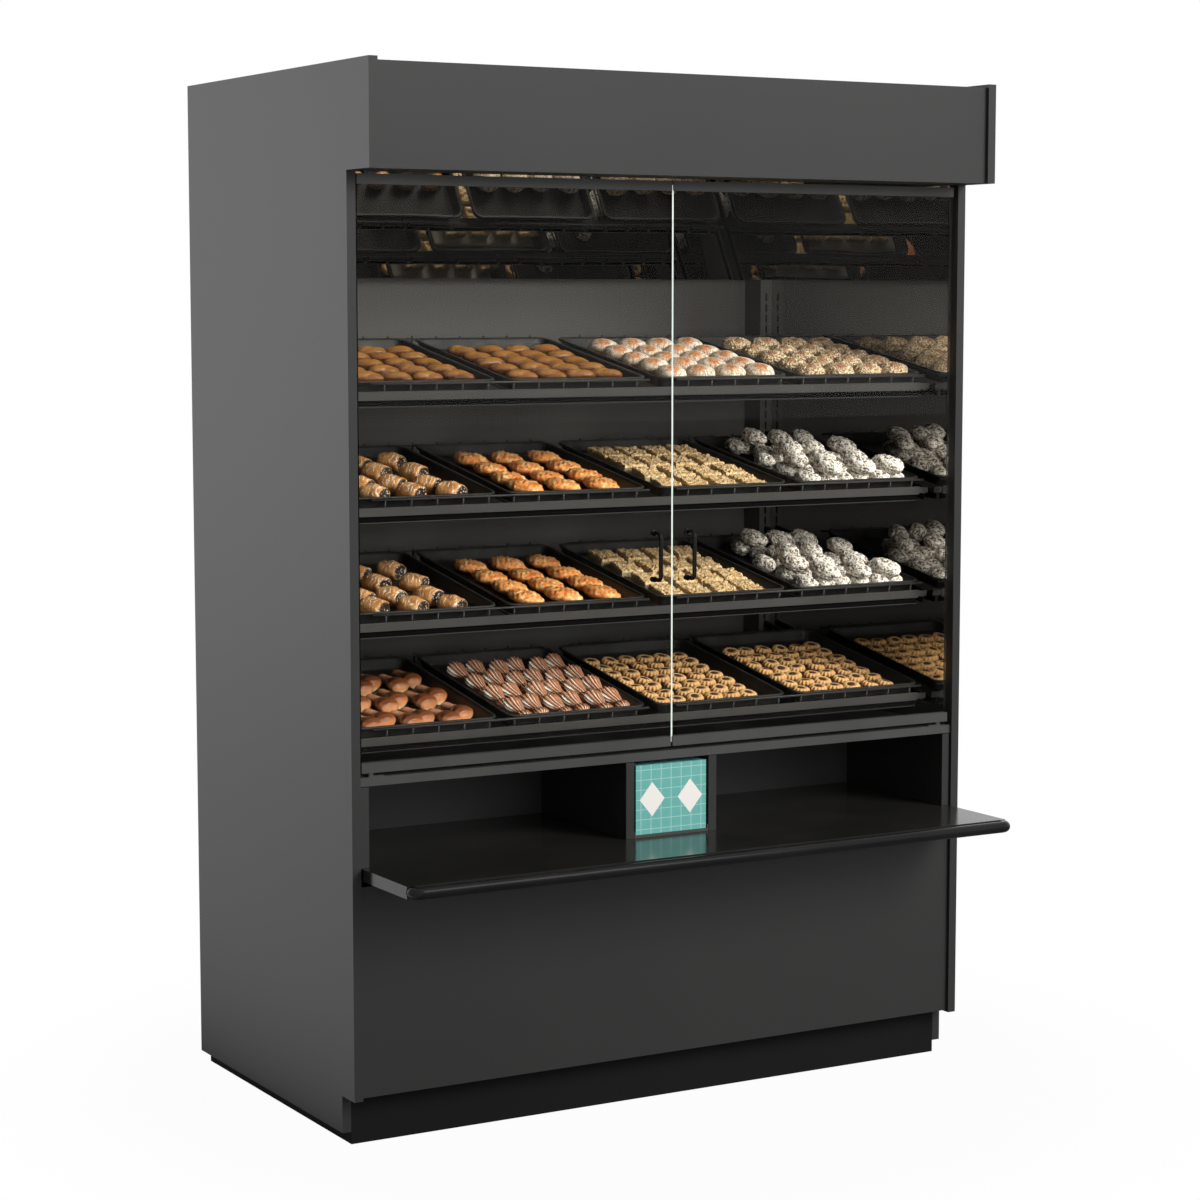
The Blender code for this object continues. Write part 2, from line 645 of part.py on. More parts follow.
def shelf_frame(number):
    """A welded frame that hooks into the uprights and carries two wire grids."""
    seat_z = SEATS[number]
    name = "shelf_%d_frame" % (number + 1)
    rail_x = ARM_INNER_X - PRICE_RAIL_END_GAP
    item = solid_profile(name, rail_profile(seat_z), -rail_x, rail_x, black_metal)
    rear_middle = CROSS_WIRE_PLACES[-1]
    rear_outline = slope_box(seat_z, rear_middle - REAR_RAIL_WIDTH / 2, rear_middle + REAR_RAIL_WIDTH / 2,
                             FRAME_TOP - REAR_RAIL_HEIGHT, FRAME_TOP)
    tab_outline = slope_box(seat_z, PRICE_RAIL_BACK - PRICE_RAIL_THICKNESS / 2, TAB_BACK,
                            FRAME_TOP - WEB_THICKNESS / 2, TAB_TOP)
    for side, place in ((-1, "left"), (1, "right")):
        tab_end = UPRIGHT_X + TAB_OUTREACH
        tab_x = ordered(side, tab_end - TAB_WIDTH, tab_end)
        joined_profile(item, "%s_%s_tab" % (name, place), tab_outline, *tab_x)
        arm_x = ordered(side, UPRIGHT_X - ARM_THICKNESS / 2, UPRIGHT_X + ARM_THICKNESS / 2)
        joined_profile(item, "%s_%s_arm" % (name, place), arm_outline(seat_z), *arm_x)
    joined_profile(item, name + "_rear_rail", rear_outline, -UPRIGHT_X, UPRIGHT_X)


# Wire grids: long wires bent up at both ends, welded to cross wires and to two rods
def long_wire_points(x):
    """A long wire's path: from the front rod down, along the seat, and up behind the rear rod."""
    wire_z = -WIRE_RADIUS
    front_y = ROD_FRONT + FIT
    horn_y = REAR_ROD_Y + ROD_RADIUS + WIRE_RADIUS - WELD_DEPTH
    return [(x, front_y, ROD_RISE), (x, front_y, wire_z), (x, horn_y, wire_z),
            (x, horn_y, ROD_RISE + ROD_RADIUS + WIRE_HORN)]


def cross_wire_paths(x_low, x_high):
    """The rods and cross wires as (points, radius)."""
    paths = [([(x_low, y, ROD_RISE), (x_high, y, ROD_RISE)], ROD_RADIUS) for y in (ROD_FRONT, REAR_ROD_Y)]
    for y in CROSS_WIRE_PLACES:
        paths.append(([(x_low, y, CROSS_WIRE_Z), (x_high, y, CROSS_WIRE_Z)], WIRE_RADIUS))
    return paths


def wire_mesh(name, paths, place):
    """One mesh of separate square wires, each standing on an edge, placed in the world."""
    bm = bmesh.new()
    for points, radius in paths:
        blank = add_object("wire_blank", round_wire(points, radius, resolution=0), wire_black)
        bm.from_mesh(solid_mesh(blank))
    bm.transform(place)
    return mesh_from(bm, name)


def wire_grid(name, x_low, x_high, place):
    step = (x_high - x_low - 2 * WIRE_END_GAP) / (WIRE_COUNT - 1)
    long_wires = [(long_wire_points(x_low + WIRE_END_GAP + step * number), WIRE_RADIUS)
                  for number in range(WIRE_COUNT)]
    item = add_object(name, wire_mesh(name, long_wires, place), wire_black)
    crossing = bpy.data.objects.new(name + "_cross_wires",
                                    wire_mesh(name, cross_wire_paths(x_low, x_high), place))
    crossing.hide_render = True
    crossing.display_type = "WIRE"
    cutter_collection.objects.link(crossing)
    boolean(item, crossing, "UNION")


def shelf_grids(number, place):
    grid_width = (2 * ARM_INNER_X - GRID_LEFT_GAP - GRID_MIDDLE_GAP - GRID_RIGHT_GAP) / 2
    left_x = GRID_LEFT_GAP - ARM_INNER_X
    right_x = ARM_INNER_X - GRID_RIGHT_GAP
    wire_grid("shelf_%d_left_grid" % (number + 1), left_x, left_x + grid_width, place)
    wire_grid("shelf_%d_right_grid" % (number + 1), right_x - grid_width, right_x, place)


# Sheet pans
PAN_FRONT_Y = ROD_FRONT + ROD_RADIUS + PAN_ROD_GAP


def round_rectangle(inset, z):
    """A ring of points with round corners, some way inside the pan's rim."""
    half = PAN_WIDTH / 2 - inset
    radius = PAN_CORNER - inset
    y_low, y_high = PAN_FRONT_Y + inset + radius, PAN_FRONT_Y + PAN_LENGTH - inset - radius
    x = half - radius
    points = []
    for quarter, centre in enumerate(((x, y_high), (-x, y_high), (-x, y_low), (x, y_low))):
        for step in range(PAN_CORNER_STEPS + 1):
            angle = math.pi / 2 * (quarter + step / PAN_CORNER_STEPS)
            points.append((centre[0] + radius * math.cos(angle), centre[1] + radius * math.sin(angle), z))
    return points


def pan_rings():
    """The pan's section as (inset from the rim's outer edge, height), from outside bottom to floor."""
    wall = PAN_FLANGE - PAN_SHEET
    return [(wall + PAN_TAPER, 0), (wall, PAN_HEIGHT - PAN_RIM_HEIGHT), (0, PAN_HEIGHT - PAN_RIM_HEIGHT),
            (0, PAN_HEIGHT), (PAN_FLANGE, PAN_HEIGHT), (PAN_FLANGE + PAN_TAPER, PAN_SHEET)]


def pan_mesh():
    """A sheet pan: a loft through the rings of its section, closed by its underside and floor."""
    bm = bmesh.new()
    rings = [[bm.verts.new(point) for point in round_rectangle(inset, z + FIT)] for inset, z in pan_rings()]
    for lower, upper in zip(rings, rings[1:]):
        for index, vert in enumerate(lower):
            bm.faces.new((lower[index - 1], vert, upper[index], upper[index - 1]))
    bm.faces.new(rings[0])
    bm.faces.new(rings[-1])
    return mesh_from(bm, "sheet_pan")


def shelf_pans(number, place):
    for column in range(PAN_COUNT):
        x = (column - (PAN_COUNT - 1) / 2) * PAN_PITCH
        name = "shelf_%d_pan_%d" % (number + 1, column + 1)
        pan = add_object(name, pan_mesh(), pan_black)
        pan.matrix_world = place @ Matrix.Translation((x, 0, 0))


for shelf_number, seat in enumerate(SEATS):
    tilted_place = (Matrix.Translation((0, FRONT_Y + SHELF_SEAT_Y, seat))
                    @ Matrix.Rotation(SHELF_SLOPE, 4, "X"))
    shelf_frame(shelf_number)
    shelf_grids(shelf_number, tilted_place)
    shelf_pans(shelf_number, tilted_place)

# Doors
DOOR_TOP = HEADER_Z - DOOR_HEAD_GAP
DOOR_BOTTOM = SILL_TOP + DOOR_SILL_GAP
DOOR_OUTER_X = PANEL_X - DOOR_SIDE_GAP
DOOR_INNER_X = DOOR_CENTRE_GAP / 2
DOOR_Y = FRONT_Y + DOOR_SETBACK
PIVOT_X = DOOR_OUTER_X - PIVOT_INSET
PIVOT_Y = DOOR_Y + RAIL_THICKNESS / 2
GLASS_Y = DOOR_Y + GLASS_SETBACK
GLASS_BACK = GLASS_Y + GLASS_THICKNESS
GLASS_WEB = RAIL_HEIGHT - GLASS_BITE
HANDLE_X = DOOR_INNER_X + HANDLE_INSET
HANDLE_FEET = [DOOR_BOTTOM + HANDLE_RISE - HANDLE_SPACING / 2, DOOR_BOTTOM + HANDLE_RISE + HANDLE_SPACING / 2]
BORE_DEPTH = PIVOT_PIN_LENGTH + PIVOT_BORE_CLEARANCE


def pivot_empty(name, side):
    """An empty on the door's pivot axis, which its pieces hang on."""
    empty = bpy.data.objects.new(name + "_pivot", None)
    case_collection.objects.link(empty)
    empty.location = (side * PIVOT_X, PIVOT_Y, 0)
    bpy.context.view_layer.update()
    return empty


def hang(item, empty):
    """Keeps an object where it stands and parents it to the pivot."""
    item.parent = empty
    item.matrix_parent_inverse = empty.matrix_world.inverted()


def rail_section(edge, lip):
    """Section of a door rail from its outer edge to its lip, with a groove for the glass's edge."""
    front, back = DOOR_Y, DOOR_Y + RAIL_THICKNESS
    groove_front, groove_back = GLASS_Y - FIT, GLASS_BACK + FIT
    groove_end = edge + (lip - edge) * (GLASS_WEB - FIT) / RAIL_HEIGHT
    return [(front, edge), (back, edge), (back, lip), (groove_back, lip), (groove_back, groove_end),
            (groove_front, groove_end), (groove_front, lip), (front, lip)]


def door_rail(name, side, edge, lip, empty):
    """A rail along the glass's edge, with a blind bore for the pivot pin."""
    x_low, x_high = ordered(side, DOOR_INNER_X, DOOR_OUTER_X)
    item = solid_profile(name, rail_section(edge, lip), x_low, x_high, black_metal)
    inward = 1 if lip > edge else -1
    bore = bmesh.new()
    add_cylinder(bore, (side * PIVOT_X, PIVOT_Y, edge - inward * CUT_OVERRUN),
                 (side * PIVOT_X, PIVOT_Y, edge + inward * BORE_DEPTH),
                 PIVOT_PIN_RADIUS + PIVOT_BORE_CLEARANCE)
    boolean(item, cutter(name + "_bore", bore))
    hang(item, empty)


def door_glass(name, side, empty):
    x_low, x_high = ordered(side, DOOR_INNER_X + GLASS_EDGE_INSET, DOOR_OUTER_X - GLASS_EDGE_INSET)
    item = block(name, (x_low, GLASS_Y, DOOR_BOTTOM + GLASS_WEB), (x_high, GLASS_BACK, DOOR_TOP - GLASS_WEB),
                 glass)
    holes = bmesh.new()
    for z in HANDLE_FEET:
        add_cylinder(holes, (side * HANDLE_X, GLASS_Y - CUT_OVERRUN, z),
                     (side * HANDLE_X, GLASS_BACK + CUT_OVERRUN, z), SCREW_RADIUS + SCREW_CLEARANCE,
                     segments=SCREW_SIDES)
    boolean(item, cutter(name + "_holes", holes))
    hang(item, empty)


def door_handle(name, side, empty):
    """A bent round bar on the glass, with two studs through it and their heads behind."""
    x = side * HANDLE_X
    low, high = HANDLE_FEET
    foot_y = GLASS_Y - FIT
    bar_y = GLASS_Y - HANDLE_REACH
    points = [Vector((x, foot_y, low))]
    points += bend_points((x, foot_y, low), (x, bar_y, low), (x, bar_y, high), HANDLE_BEND, BEND_STEPS)
    points += bend_points((x, bar_y, low), (x, bar_y, high), (x, foot_y, high), HANDLE_BEND, BEND_STEPS)
    points.append(Vector((x, foot_y, high)))
    bar = add_object(name + "_blank", round_wire(points, HANDLE_RADIUS, resolution=2), black_metal)
    item = add_object(name, solid_mesh(bar), black_metal)
    studs, heads = bmesh.new(), bmesh.new()
    head_y = GLASS_BACK + FIT
    for z in HANDLE_FEET:
        add_cylinder(studs, (x, foot_y - HANDLE_RADIUS, z), (x, head_y + SCREW_HEAD_HEIGHT / 2, z),
                     SCREW_RADIUS, segments=SCREW_SIDES)
        add_cylinder(heads, (x, head_y, z), (x, head_y + SCREW_HEAD_HEIGHT, z), SCREW_HEAD_RADIUS,
                     segments=SCREW_SIDES)
    boolean(item, cutter(name + "_studs", studs), "UNION")
    boolean(item, cutter(name + "_heads", heads), "UNION")
    hang(item, empty)


def door(name, side):
    empty = pivot_empty(name, side)
    door_rail(name + "_top_rail", side, DOOR_TOP, DOOR_TOP - RAIL_HEIGHT, empty)
    door_rail(name + "_bottom_rail", side, DOOR_BOTTOM, DOOR_BOTTOM + RAIL_HEIGHT, empty)
    door_glass(name + "_glass", side, empty)
    door_handle(name + "_handle", side, empty)


door("left_door", -1)
door("right_door", 1)


# Door pivots, on the sill and under the soffit
def pivot_plate(seat, up, side):
    """Corners of a pivot's plate, with its face on a seat and its thickness upwards or downwards."""
    outer = PIVOT_X + PIVOT_BOSS_RADIUS
    x_low, x_high = ordered(side, outer - PIVOT_PLATE_REACH, outer)
    z_low, z_high = sorted((seat, seat + up * PIVOT_PLATE_THICKNESS))
    half = PIVOT_PLATE_WIDTH / 2
    return (x_low, PIVOT_Y - half, z_low), (x_high, PIVOT_Y + half, z_high)


def join_pivot(item, name, root, rail_face, up, side):
    """Joins a pivot's boss, which stops short of the door rail, and its pin, which enters the rail."""
    for piece, radius, end in (("boss", PIVOT_BOSS_RADIUS, rail_face - up * FIT),
                               ("pin", PIVOT_PIN_RADIUS, rail_face + up * PIVOT_PIN_LENGTH)):
        bm = bmesh.new()
        add_cylinder(bm, (side * PIVOT_X, PIVOT_Y, root), (side * PIVOT_X, PIVOT_Y, end), radius)
        boolean(item, cutter("%s_%s" % (name, piece), bm), "UNION")


def door_sill():
    """The metal sill, with the doors' bottom pivots welded on."""
    item = block("door_sill", (-INNER_X, SILL_Y, SILL_TOP - SILL_HEIGHT), (INNER_X, SILL_Y + BOARD, SILL_TOP),
                 black_metal)
    plates = [pivot_plate(SILL_TOP, 1, side) for side in (-1, 1)]
    sunk = [((low[0], low[1], low[2] - SILL_HEIGHT / 2), high) for low, high in plates]
    join_blocks(item, sunk)
    for side, place in ((-1, "left"), (1, "right")):
        join_pivot(item, place + "_bottom_pivot", SILL_TOP - SILL_HEIGHT / 2, DOOR_BOTTOM, 1, side)


def top_pivot(name, side):
    """A plate under the soffit with a boss and a pin that points down."""
    seat = HEADER_Z - FIT
    item = block(name, *pivot_plate(seat, -1, side), black_metal)
    join_pivot(item, name, seat - PIVOT_PLATE_THICKNESS / 2, DOOR_TOP, -1, side)


door_sill()
top_pivot("left_top_pivot", -1)
top_pivot("right_top_pivot", 1)
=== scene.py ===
"""Looks of the self-serve bakery display case: materials for the cabinet, finer wire grids, pans,
handles and bumper, mirrors on the inner side walls, and the baked goods in the pans.
Metres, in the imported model's own frame."""

import math
import random
from functools import cached_property

import bpy
import numpy as np
from mathutils import Matrix, Vector, noise


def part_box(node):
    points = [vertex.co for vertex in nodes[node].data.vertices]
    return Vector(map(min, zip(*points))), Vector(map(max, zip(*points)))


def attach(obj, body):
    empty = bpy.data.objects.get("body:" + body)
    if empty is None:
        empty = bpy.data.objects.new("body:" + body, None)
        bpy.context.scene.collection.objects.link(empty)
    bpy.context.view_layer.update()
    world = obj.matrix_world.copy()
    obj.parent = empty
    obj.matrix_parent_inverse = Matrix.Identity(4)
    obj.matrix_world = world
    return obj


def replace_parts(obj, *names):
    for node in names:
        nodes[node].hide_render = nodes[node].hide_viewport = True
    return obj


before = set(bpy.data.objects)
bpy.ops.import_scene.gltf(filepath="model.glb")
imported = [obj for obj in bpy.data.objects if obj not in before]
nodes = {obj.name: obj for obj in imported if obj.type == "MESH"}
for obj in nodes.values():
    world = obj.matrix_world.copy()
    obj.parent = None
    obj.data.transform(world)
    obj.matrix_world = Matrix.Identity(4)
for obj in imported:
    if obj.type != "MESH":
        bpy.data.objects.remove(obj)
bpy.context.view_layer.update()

# Shelves, as in the part: a tilted frame whose origin is the middle of the pans' seat line
SLOPE = math.radians(10)
SEAT_Y = -0.19305
SEATS = (1.4943, 1.2657, 1.0371, 0.8085)
PAN_PITCH = 0.352
PAN_WIDTH = 0.330
PAN_FRONT = -0.0025
PAN_LENGTH = 0.450
PAN_FLOOR = 0.0018


def shelf_place(number):
    return Matrix.Translation((0, SEAT_Y, SEATS[number])) @ Matrix.Rotation(SLOPE, 4, "X")


# Mesh helpers
def around(sides):
    return np.arange(sides) * 2 * math.pi / sides


def closed_rings(rings, start, end):
    """Points and faces of a body lofted through rings, with a pole at either end."""
    count = len(rings[0])
    points = [point for ring in rings for point in ring]
    faces = []
    for row in range(len(rings) - 1):
        low, high = row * count, (row + 1) * count
        for step in range(count):
            after = (step + 1) % count
            faces.append((low + step, low + after, high + after, high + step))
    for pole, row, turn in ((start, 0, -1), (end, len(rings) - 1, 1)):
        points.append(pole)
        for step in range(count):
            pair = (row * count + step, row * count + (step + 1) % count)
            faces.append((*pair[::turn], len(points) - 1))
    return np.array(points, float), faces


def sweep(path, radii, sides, across):
    """A closed tube along a path, with one radius a point."""
    path = np.array(path, float)
    tangents = np.gradient(path, axis=0)
    tangents /= np.linalg.norm(tangents, axis=1)[:, None]
    across = np.array(across, float)
    side = across[None, :] - tangents * (tangents @ across)[:, None]
    side /= np.linalg.norm(side, axis=1)[:, None]
    other = np.cross(tangents, side)
    angles = around(sides)[:, None]
    rings = [path[i] + radii[i] * (np.cos(angles) * side[i] + np.sin(angles) * other[i]) for i in range(len(path))]
    return closed_rings(rings, path[0], path[-1])


def bend(before, corner, after, radius, steps):
    """Points along the round bend at a corner between two straight runs."""
    before, corner, after = Vector(before), Vector(corner), Vector(after)
    to_before, to_after = (before - corner).normalized(), (after - corner).normalized()
    start, end = corner + to_before * radius, corner + to_after * radius
    centre = start + end - corner
    points = []
    for step in range(steps + 1):
        angle = math.pi / 2 * step / steps
        points.append(centre + (start - centre) * math.cos(angle) + (end - centre) * math.sin(angle))
    return points


def lumps(points, scale, seed, detail=2):
    """Smooth noise from -1 to 1 at each point; scale is the size of a lump."""
    shift = Vector((seed * 7.3, seed * 3.1, seed * 1.7))
    values = []
    for x, y, z in points:
        place = Vector((x / scale, y / scale, z / scale)) + shift
        value = noise.noise(place)
        if detail > 1:
            value += 0.5 * noise.noise(place * 2.1)
        values.append(value)
    return np.array(values)


class Batch:
    """Bodies gathered into one mesh, with the attributes that its material reads."""

    def __init__(self):
        self.points, self.faces, self.local, self.mask, self.shade = [], [], [], [], []
        self.count = 0

    def add(self, body, place=Matrix.Identity(4), mask=None, shade=0.5):
        points, faces = body
        world = np.array(place)
        self.points.append(points @ world[:3, :3].T + world[:3, 3])
        self.faces.extend(tuple(index + self.count for index in face) for face in faces)
        self.local.append(points)
        self.mask.append(np.zeros(len(points)) if mask is None else mask)
        self.shade.append(np.full(len(points), shade))
        self.count += len(points)

    def piece(self, name, material, body="root", smooth=True):
        mesh = bpy.data.meshes.new(name)
        mesh.from_pydata(np.concatenate(self.points).tolist(), [], self.faces)
        for key, kind, rows in (("local", "FLOAT_VECTOR", self.local), ("mask", "FLOAT", self.mask),
                                ("shade", "FLOAT", self.shade)):
            values = np.concatenate(rows).astype(np.float32).ravel()
            mesh.attributes.new(key, kind, "POINT").data.foreach_set(
                "vector" if kind == "FLOAT_VECTOR" else "value", values)
        mesh.polygons.foreach_set("use_smooth", [smooth] * len(mesh.polygons))
        mesh.materials.append(material)
        item = bpy.data.objects.new(name, mesh)
        bpy.context.scene.collection.objects.link(item)
        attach(item, body)
        return item


# Material helpers
class Nodes:
    """A node tree whose nodes are added by short calls."""

    def __init__(self, tree):
        self.tree = tree

    def set(self, node, key, value):
        socket = node.inputs[key]
        if isinstance(value, bpy.types.NodeSocket):
            self.tree.links.new(value, socket)
        elif socket.type == "RGBA" and len(value) == 3:
            socket.default_value = (*value, 1.0)
        else:
            socket.default_value = value

    def node(self, kind, output=0, inputs=None, **props):
        node = self.tree.nodes.new(kind)
        for key, value in props.items():
            setattr(node, key, value)
        for key, value in (inputs or {}).items():
            self.set(node, key, value)
        return node.outputs[output]

    def math(self, operation, a, b=0.0, c=0.0):
        return self.node("ShaderNodeMath", 0, {0: a, 1: b, 2: c}, operation=operation)

    def times(self, a, b):
        return self.math("MULTIPLY", a, b)

    def minus(self, a, b):
        return self.math("SUBTRACT", a, b)

    def range(self, value, low, high, to_low=0.0, to_high=1.0, smooth=False):
        return self.node("ShaderNodeMapRange", 0,
                         {"Value": value, "From Min": low, "From Max": high, "To Min": to_low, "To Max": to_high},
                         interpolation_type="SMOOTHSTEP" if smooth else "LINEAR")

    def mix(self, factor, a, b):
        node = self.tree.nodes.new("ShaderNodeMix")
        node.data_type = "RGBA"
        self.set(node, 0, factor)
        self.set(node, 6, a)
        self.set(node, 7, b)
        return node.outputs[2]

    def parts(self, point):
        node = self.tree.nodes.new("ShaderNodeSeparateXYZ")
        self.set(node, 0, point)
        return node.outputs

    def point(self, **parts):
        return self.node("ShaderNodeCombineXYZ", 0, parts)

    def length(self, point):
        return self.node("ShaderNodeVectorMath", "Value", {0: point}, operation="LENGTH")

    def outputs(self, kind):
        return self.tree.nodes.new(kind).outputs


class Shader(Nodes):
    """A material on one Principled BSDF; what its nodes read is made when it is first asked for."""

    def __init__(self, name, **sockets):
        self.material = bpy.data.materials.new(name)
        self.material.use_nodes = True
        super().__init__(self.material.node_tree)
        self.bsdf = self.tree.nodes["Principled BSDF"]
        for key, value in sockets.items():
            self.set(self.bsdf, key.replace("_", " "), value)

    @cached_property
    def place(self):
        return self.node("ShaderNodeTexCoord", "Object")

    @cached_property
    def local(self):
        return self.node("ShaderNodeAttribute", "Vector", attribute_name="local")

    @cached_property
    def mask(self):
        return self.node("ShaderNodeAttribute", "Fac", attribute_name="mask")

    @cached_property
    def shade(self):
        return self.node("ShaderNodeAttribute", "Fac", attribute_name="shade")

    def noise(self, scale, detail=3.0, roughness=0.5, at=None):
        return self.node("ShaderNodeTexNoise", "Fac", {"Vector": self.place if at is None else at, "Scale": scale,
                                                       "Detail": detail, "Roughness": roughness})

    def cells(self, scale, output="Distance"):
        return self.node("ShaderNodeTexVoronoi", output, {"Vector": self.place, "Scale": scale})

    def spread(self, noise, low=0.0, high=1.0):
        """A noise's usual span of 0.3 to 0.7, stretched from low to high."""
        return self.range(noise, 0.3, 0.7, low, high)

    def surface(self, shader):
        self.set(self.tree.nodes["Material Output"], "Surface", shader)

    def bump(self, height, distance, strength=1.0):
        normal = self.node("ShaderNodeBump", 0, {"Height": height, "Distance": distance, "Strength": strength})
        self.set(self.bsdf, "Normal", normal)

    def color(self, value):
        self.set(self.bsdf, "Base Color", value)

    def rough(self, value):
        self.set(self.bsdf, "Roughness", value)

    def orange_peel(self):
        """The fine dimples of powder coating; returns their height."""
        peel = self.noise(450.0, 2.0)
        self.bump(peel, 0.0003, 0.3)
        return peel


def board(name, dark, light, rough_low, rough_high, level=0.3, grain=0.0004):
    """Laminated board: a fine pebble, faint clouding and slightly uneven gloss."""
    s = Shader(name, Specular_IOR_Level=level)
    cloud = s.noise(1.3, 3.0)
    pebble = s.noise(900.0, 2.0)
    tone = s.math("MULTIPLY_ADD", pebble, 0.5, s.times(cloud, 0.5))
    s.color(s.mix(s.spread(tone), dark, light))
    s.rough(s.spread(pebble, rough_low, rough_high))
    s.bump(pebble, grain, 0.25)
    return s.material


def coated_metal(name, dark, light, rough, level=0.5):
    """Powder-coated metal: fine orange peel over an even tone."""
    s = Shader(name, Specular_IOR_Level=level)
    peel = s.orange_peel()
    s.color(s.mix(s.spread(s.noise(6.0, 4.0)), dark, light))
    s.rough(s.spread(peel, rough - 0.04, rough + 0.05))
    return s.material


laminate = board("looks_laminate", (0.009, 0.009, 0.009), (0.014, 0.014, 0.0135), 0.42, 0.50, level=0.5)
plinth = board("looks_plinth", (0.004, 0.004, 0.004), (0.006, 0.006, 0.006), 0.50, 0.62, level=0.1)
metal = coated_metal("looks_coated_metal", (0.024, 0.024, 0.023), (0.032, 0.032, 0.031), 0.38)
wire_metal = coated_metal("looks_wire", (0.017, 0.0165, 0.0155), (0.024, 0.0235, 0.022), 0.36)
gloss_metal = coated_metal("looks_gloss_metal", (0.004, 0.004, 0.004), (0.006, 0.006, 0.006), 0.12, level=0.14)
back_board = board("looks_back_board", (0.078, 0.076, 0.071), (0.096, 0.093, 0.088), 0.50, 0.60,
                   level=0.2, grain=0.00005)


def price_rail_material():
    """Coated metal; under the rail's face and over its lip it is dull, and painted dark as the shade that the face
    casts there.
    """
    skirt_low, skirt_high, below_lowest_seat = -0.0246, -0.0119, 0.1
    s = Shader("looks_price_rail")
    x, y, z = s.parts(s.place)
    peel = s.orange_peel()
    along = s.minus(y, SEAT_Y)
    lift = s.math("MULTIPLY_ADD", along, -math.tan(SLOPE), s.minus(z, SEATS[3] - below_lowest_seat))
    up = s.minus(s.math("FLOORED_MODULO", lift, SEATS[0] - SEATS[1]), below_lowest_seat)
    shaded_skirt = s.times(s.math("LESS_THAN", up, skirt_high), s.math("GREATER_THAN", up, skirt_low))
    face = s.mix(s.spread(s.noise(6.0, 4.0)), (0.034, 0.0325, 0.030), (0.042, 0.040, 0.037))
    # Painted shade: near-black colour under the rail's face, where its shadow falls.
    s.color(s.mix(shaded_skirt, face, (0.003, 0.003, 0.003)))
    s.rough(s.range(shaded_skirt, 0.0, 1.0, s.spread(peel, 0.38, 0.47), 0.9))
    s.set(s.bsdf, "Specular IOR Level", s.range(shaded_skirt, 0.0, 1.0, 0.5, 0.05))
    return s.material


def upright_material():
    """Coated metal; inside the slots recessed into the front it is painted near-black as shade."""
    flange, face_depth = 0.004, 0.0006
    low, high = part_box("right_upright")
    s = Shader("looks_upright")
    peel = s.orange_peel()
    x, y, z = s.parts(s.place)
    aside = s.math("ABSOLUTE", x)
    shaded_slots = s.math("GREATER_THAN", y, low.y + face_depth)
    for within in (s.math("LESS_THAN", aside, high.x - flange), s.math("GREATER_THAN", aside, low.x + flange)):
        shaded_slots = s.times(shaded_slots, within)
    face = s.mix(s.noise(6.0, 4.0), (0.074, 0.071, 0.066), (0.090, 0.087, 0.080))
    # Painted shade: the recessed slot floors are near-black, standing in for the dark of open slots.
    s.color(s.mix(shaded_slots, face, (0.002, 0.002, 0.002)))
    s.rough(s.spread(peel, 0.38, 0.47))
    return s.material


def ledge_material():
    """Glossy black ledge with faint rub marks."""
    s = Shader("looks_ledge", Specular_IOR_Level=0.42)
    cloud = s.noise(5.0, 5.0, 0.6)
    s.color(s.mix(s.spread(cloud), (0.008, 0.008, 0.007), (0.014, 0.013, 0.012)))
    s.rough(s.spread(cloud, 0.14, 0.22))
    s.bump(s.noise(300.0, 2.0), 0.0002, 0.08)
    return s.material


def top_panel_material():
    """Black mirror-like sheet that is not quite flat, so that what it shows wavers."""
    s = Shader("looks_gloss_top_panel", Metallic=1.0)
    s.color(s.mix(s.noise(6.0, 3.0), (0.82, 0.79, 0.74), (0.90, 0.87, 0.82)))
    s.rough(s.spread(s.noise(40.0, 3.0), 0.0, 0.012))
    s.bump(s.noise(3.2, 1.0, 0.4), 0.02, 0.12)
    return s.material


def mirror_material():
    """Dim mirror sheet, very slightly uneven."""
    s = Shader("looks_mirror", Metallic=1.0)
    s.color(s.mix(s.noise(4.0, 2.0), (0.44, 0.43, 0.415), (0.50, 0.49, 0.475)))
    s.rough(s.spread(s.noise(60.0, 4.0), 0.0, 0.004))
    return s.material


def pan_material():
    """Dark seasoned pan: brown-black, with rub marks that change its gloss."""
    s = Shader("looks_pan", Specular_IOR_Level=0.3)
    stain = s.noise(26.0, 5.0, 0.6)
    s.color(s.mix(s.spread(stain), (0.011, 0.011, 0.0105), (0.026, 0.025, 0.0225)))
    s.rough(s.spread(s.noise(90.0, 3.0), 0.28, 0.42))
    s.bump(stain, 0.0004, 0.2)
    return s.material


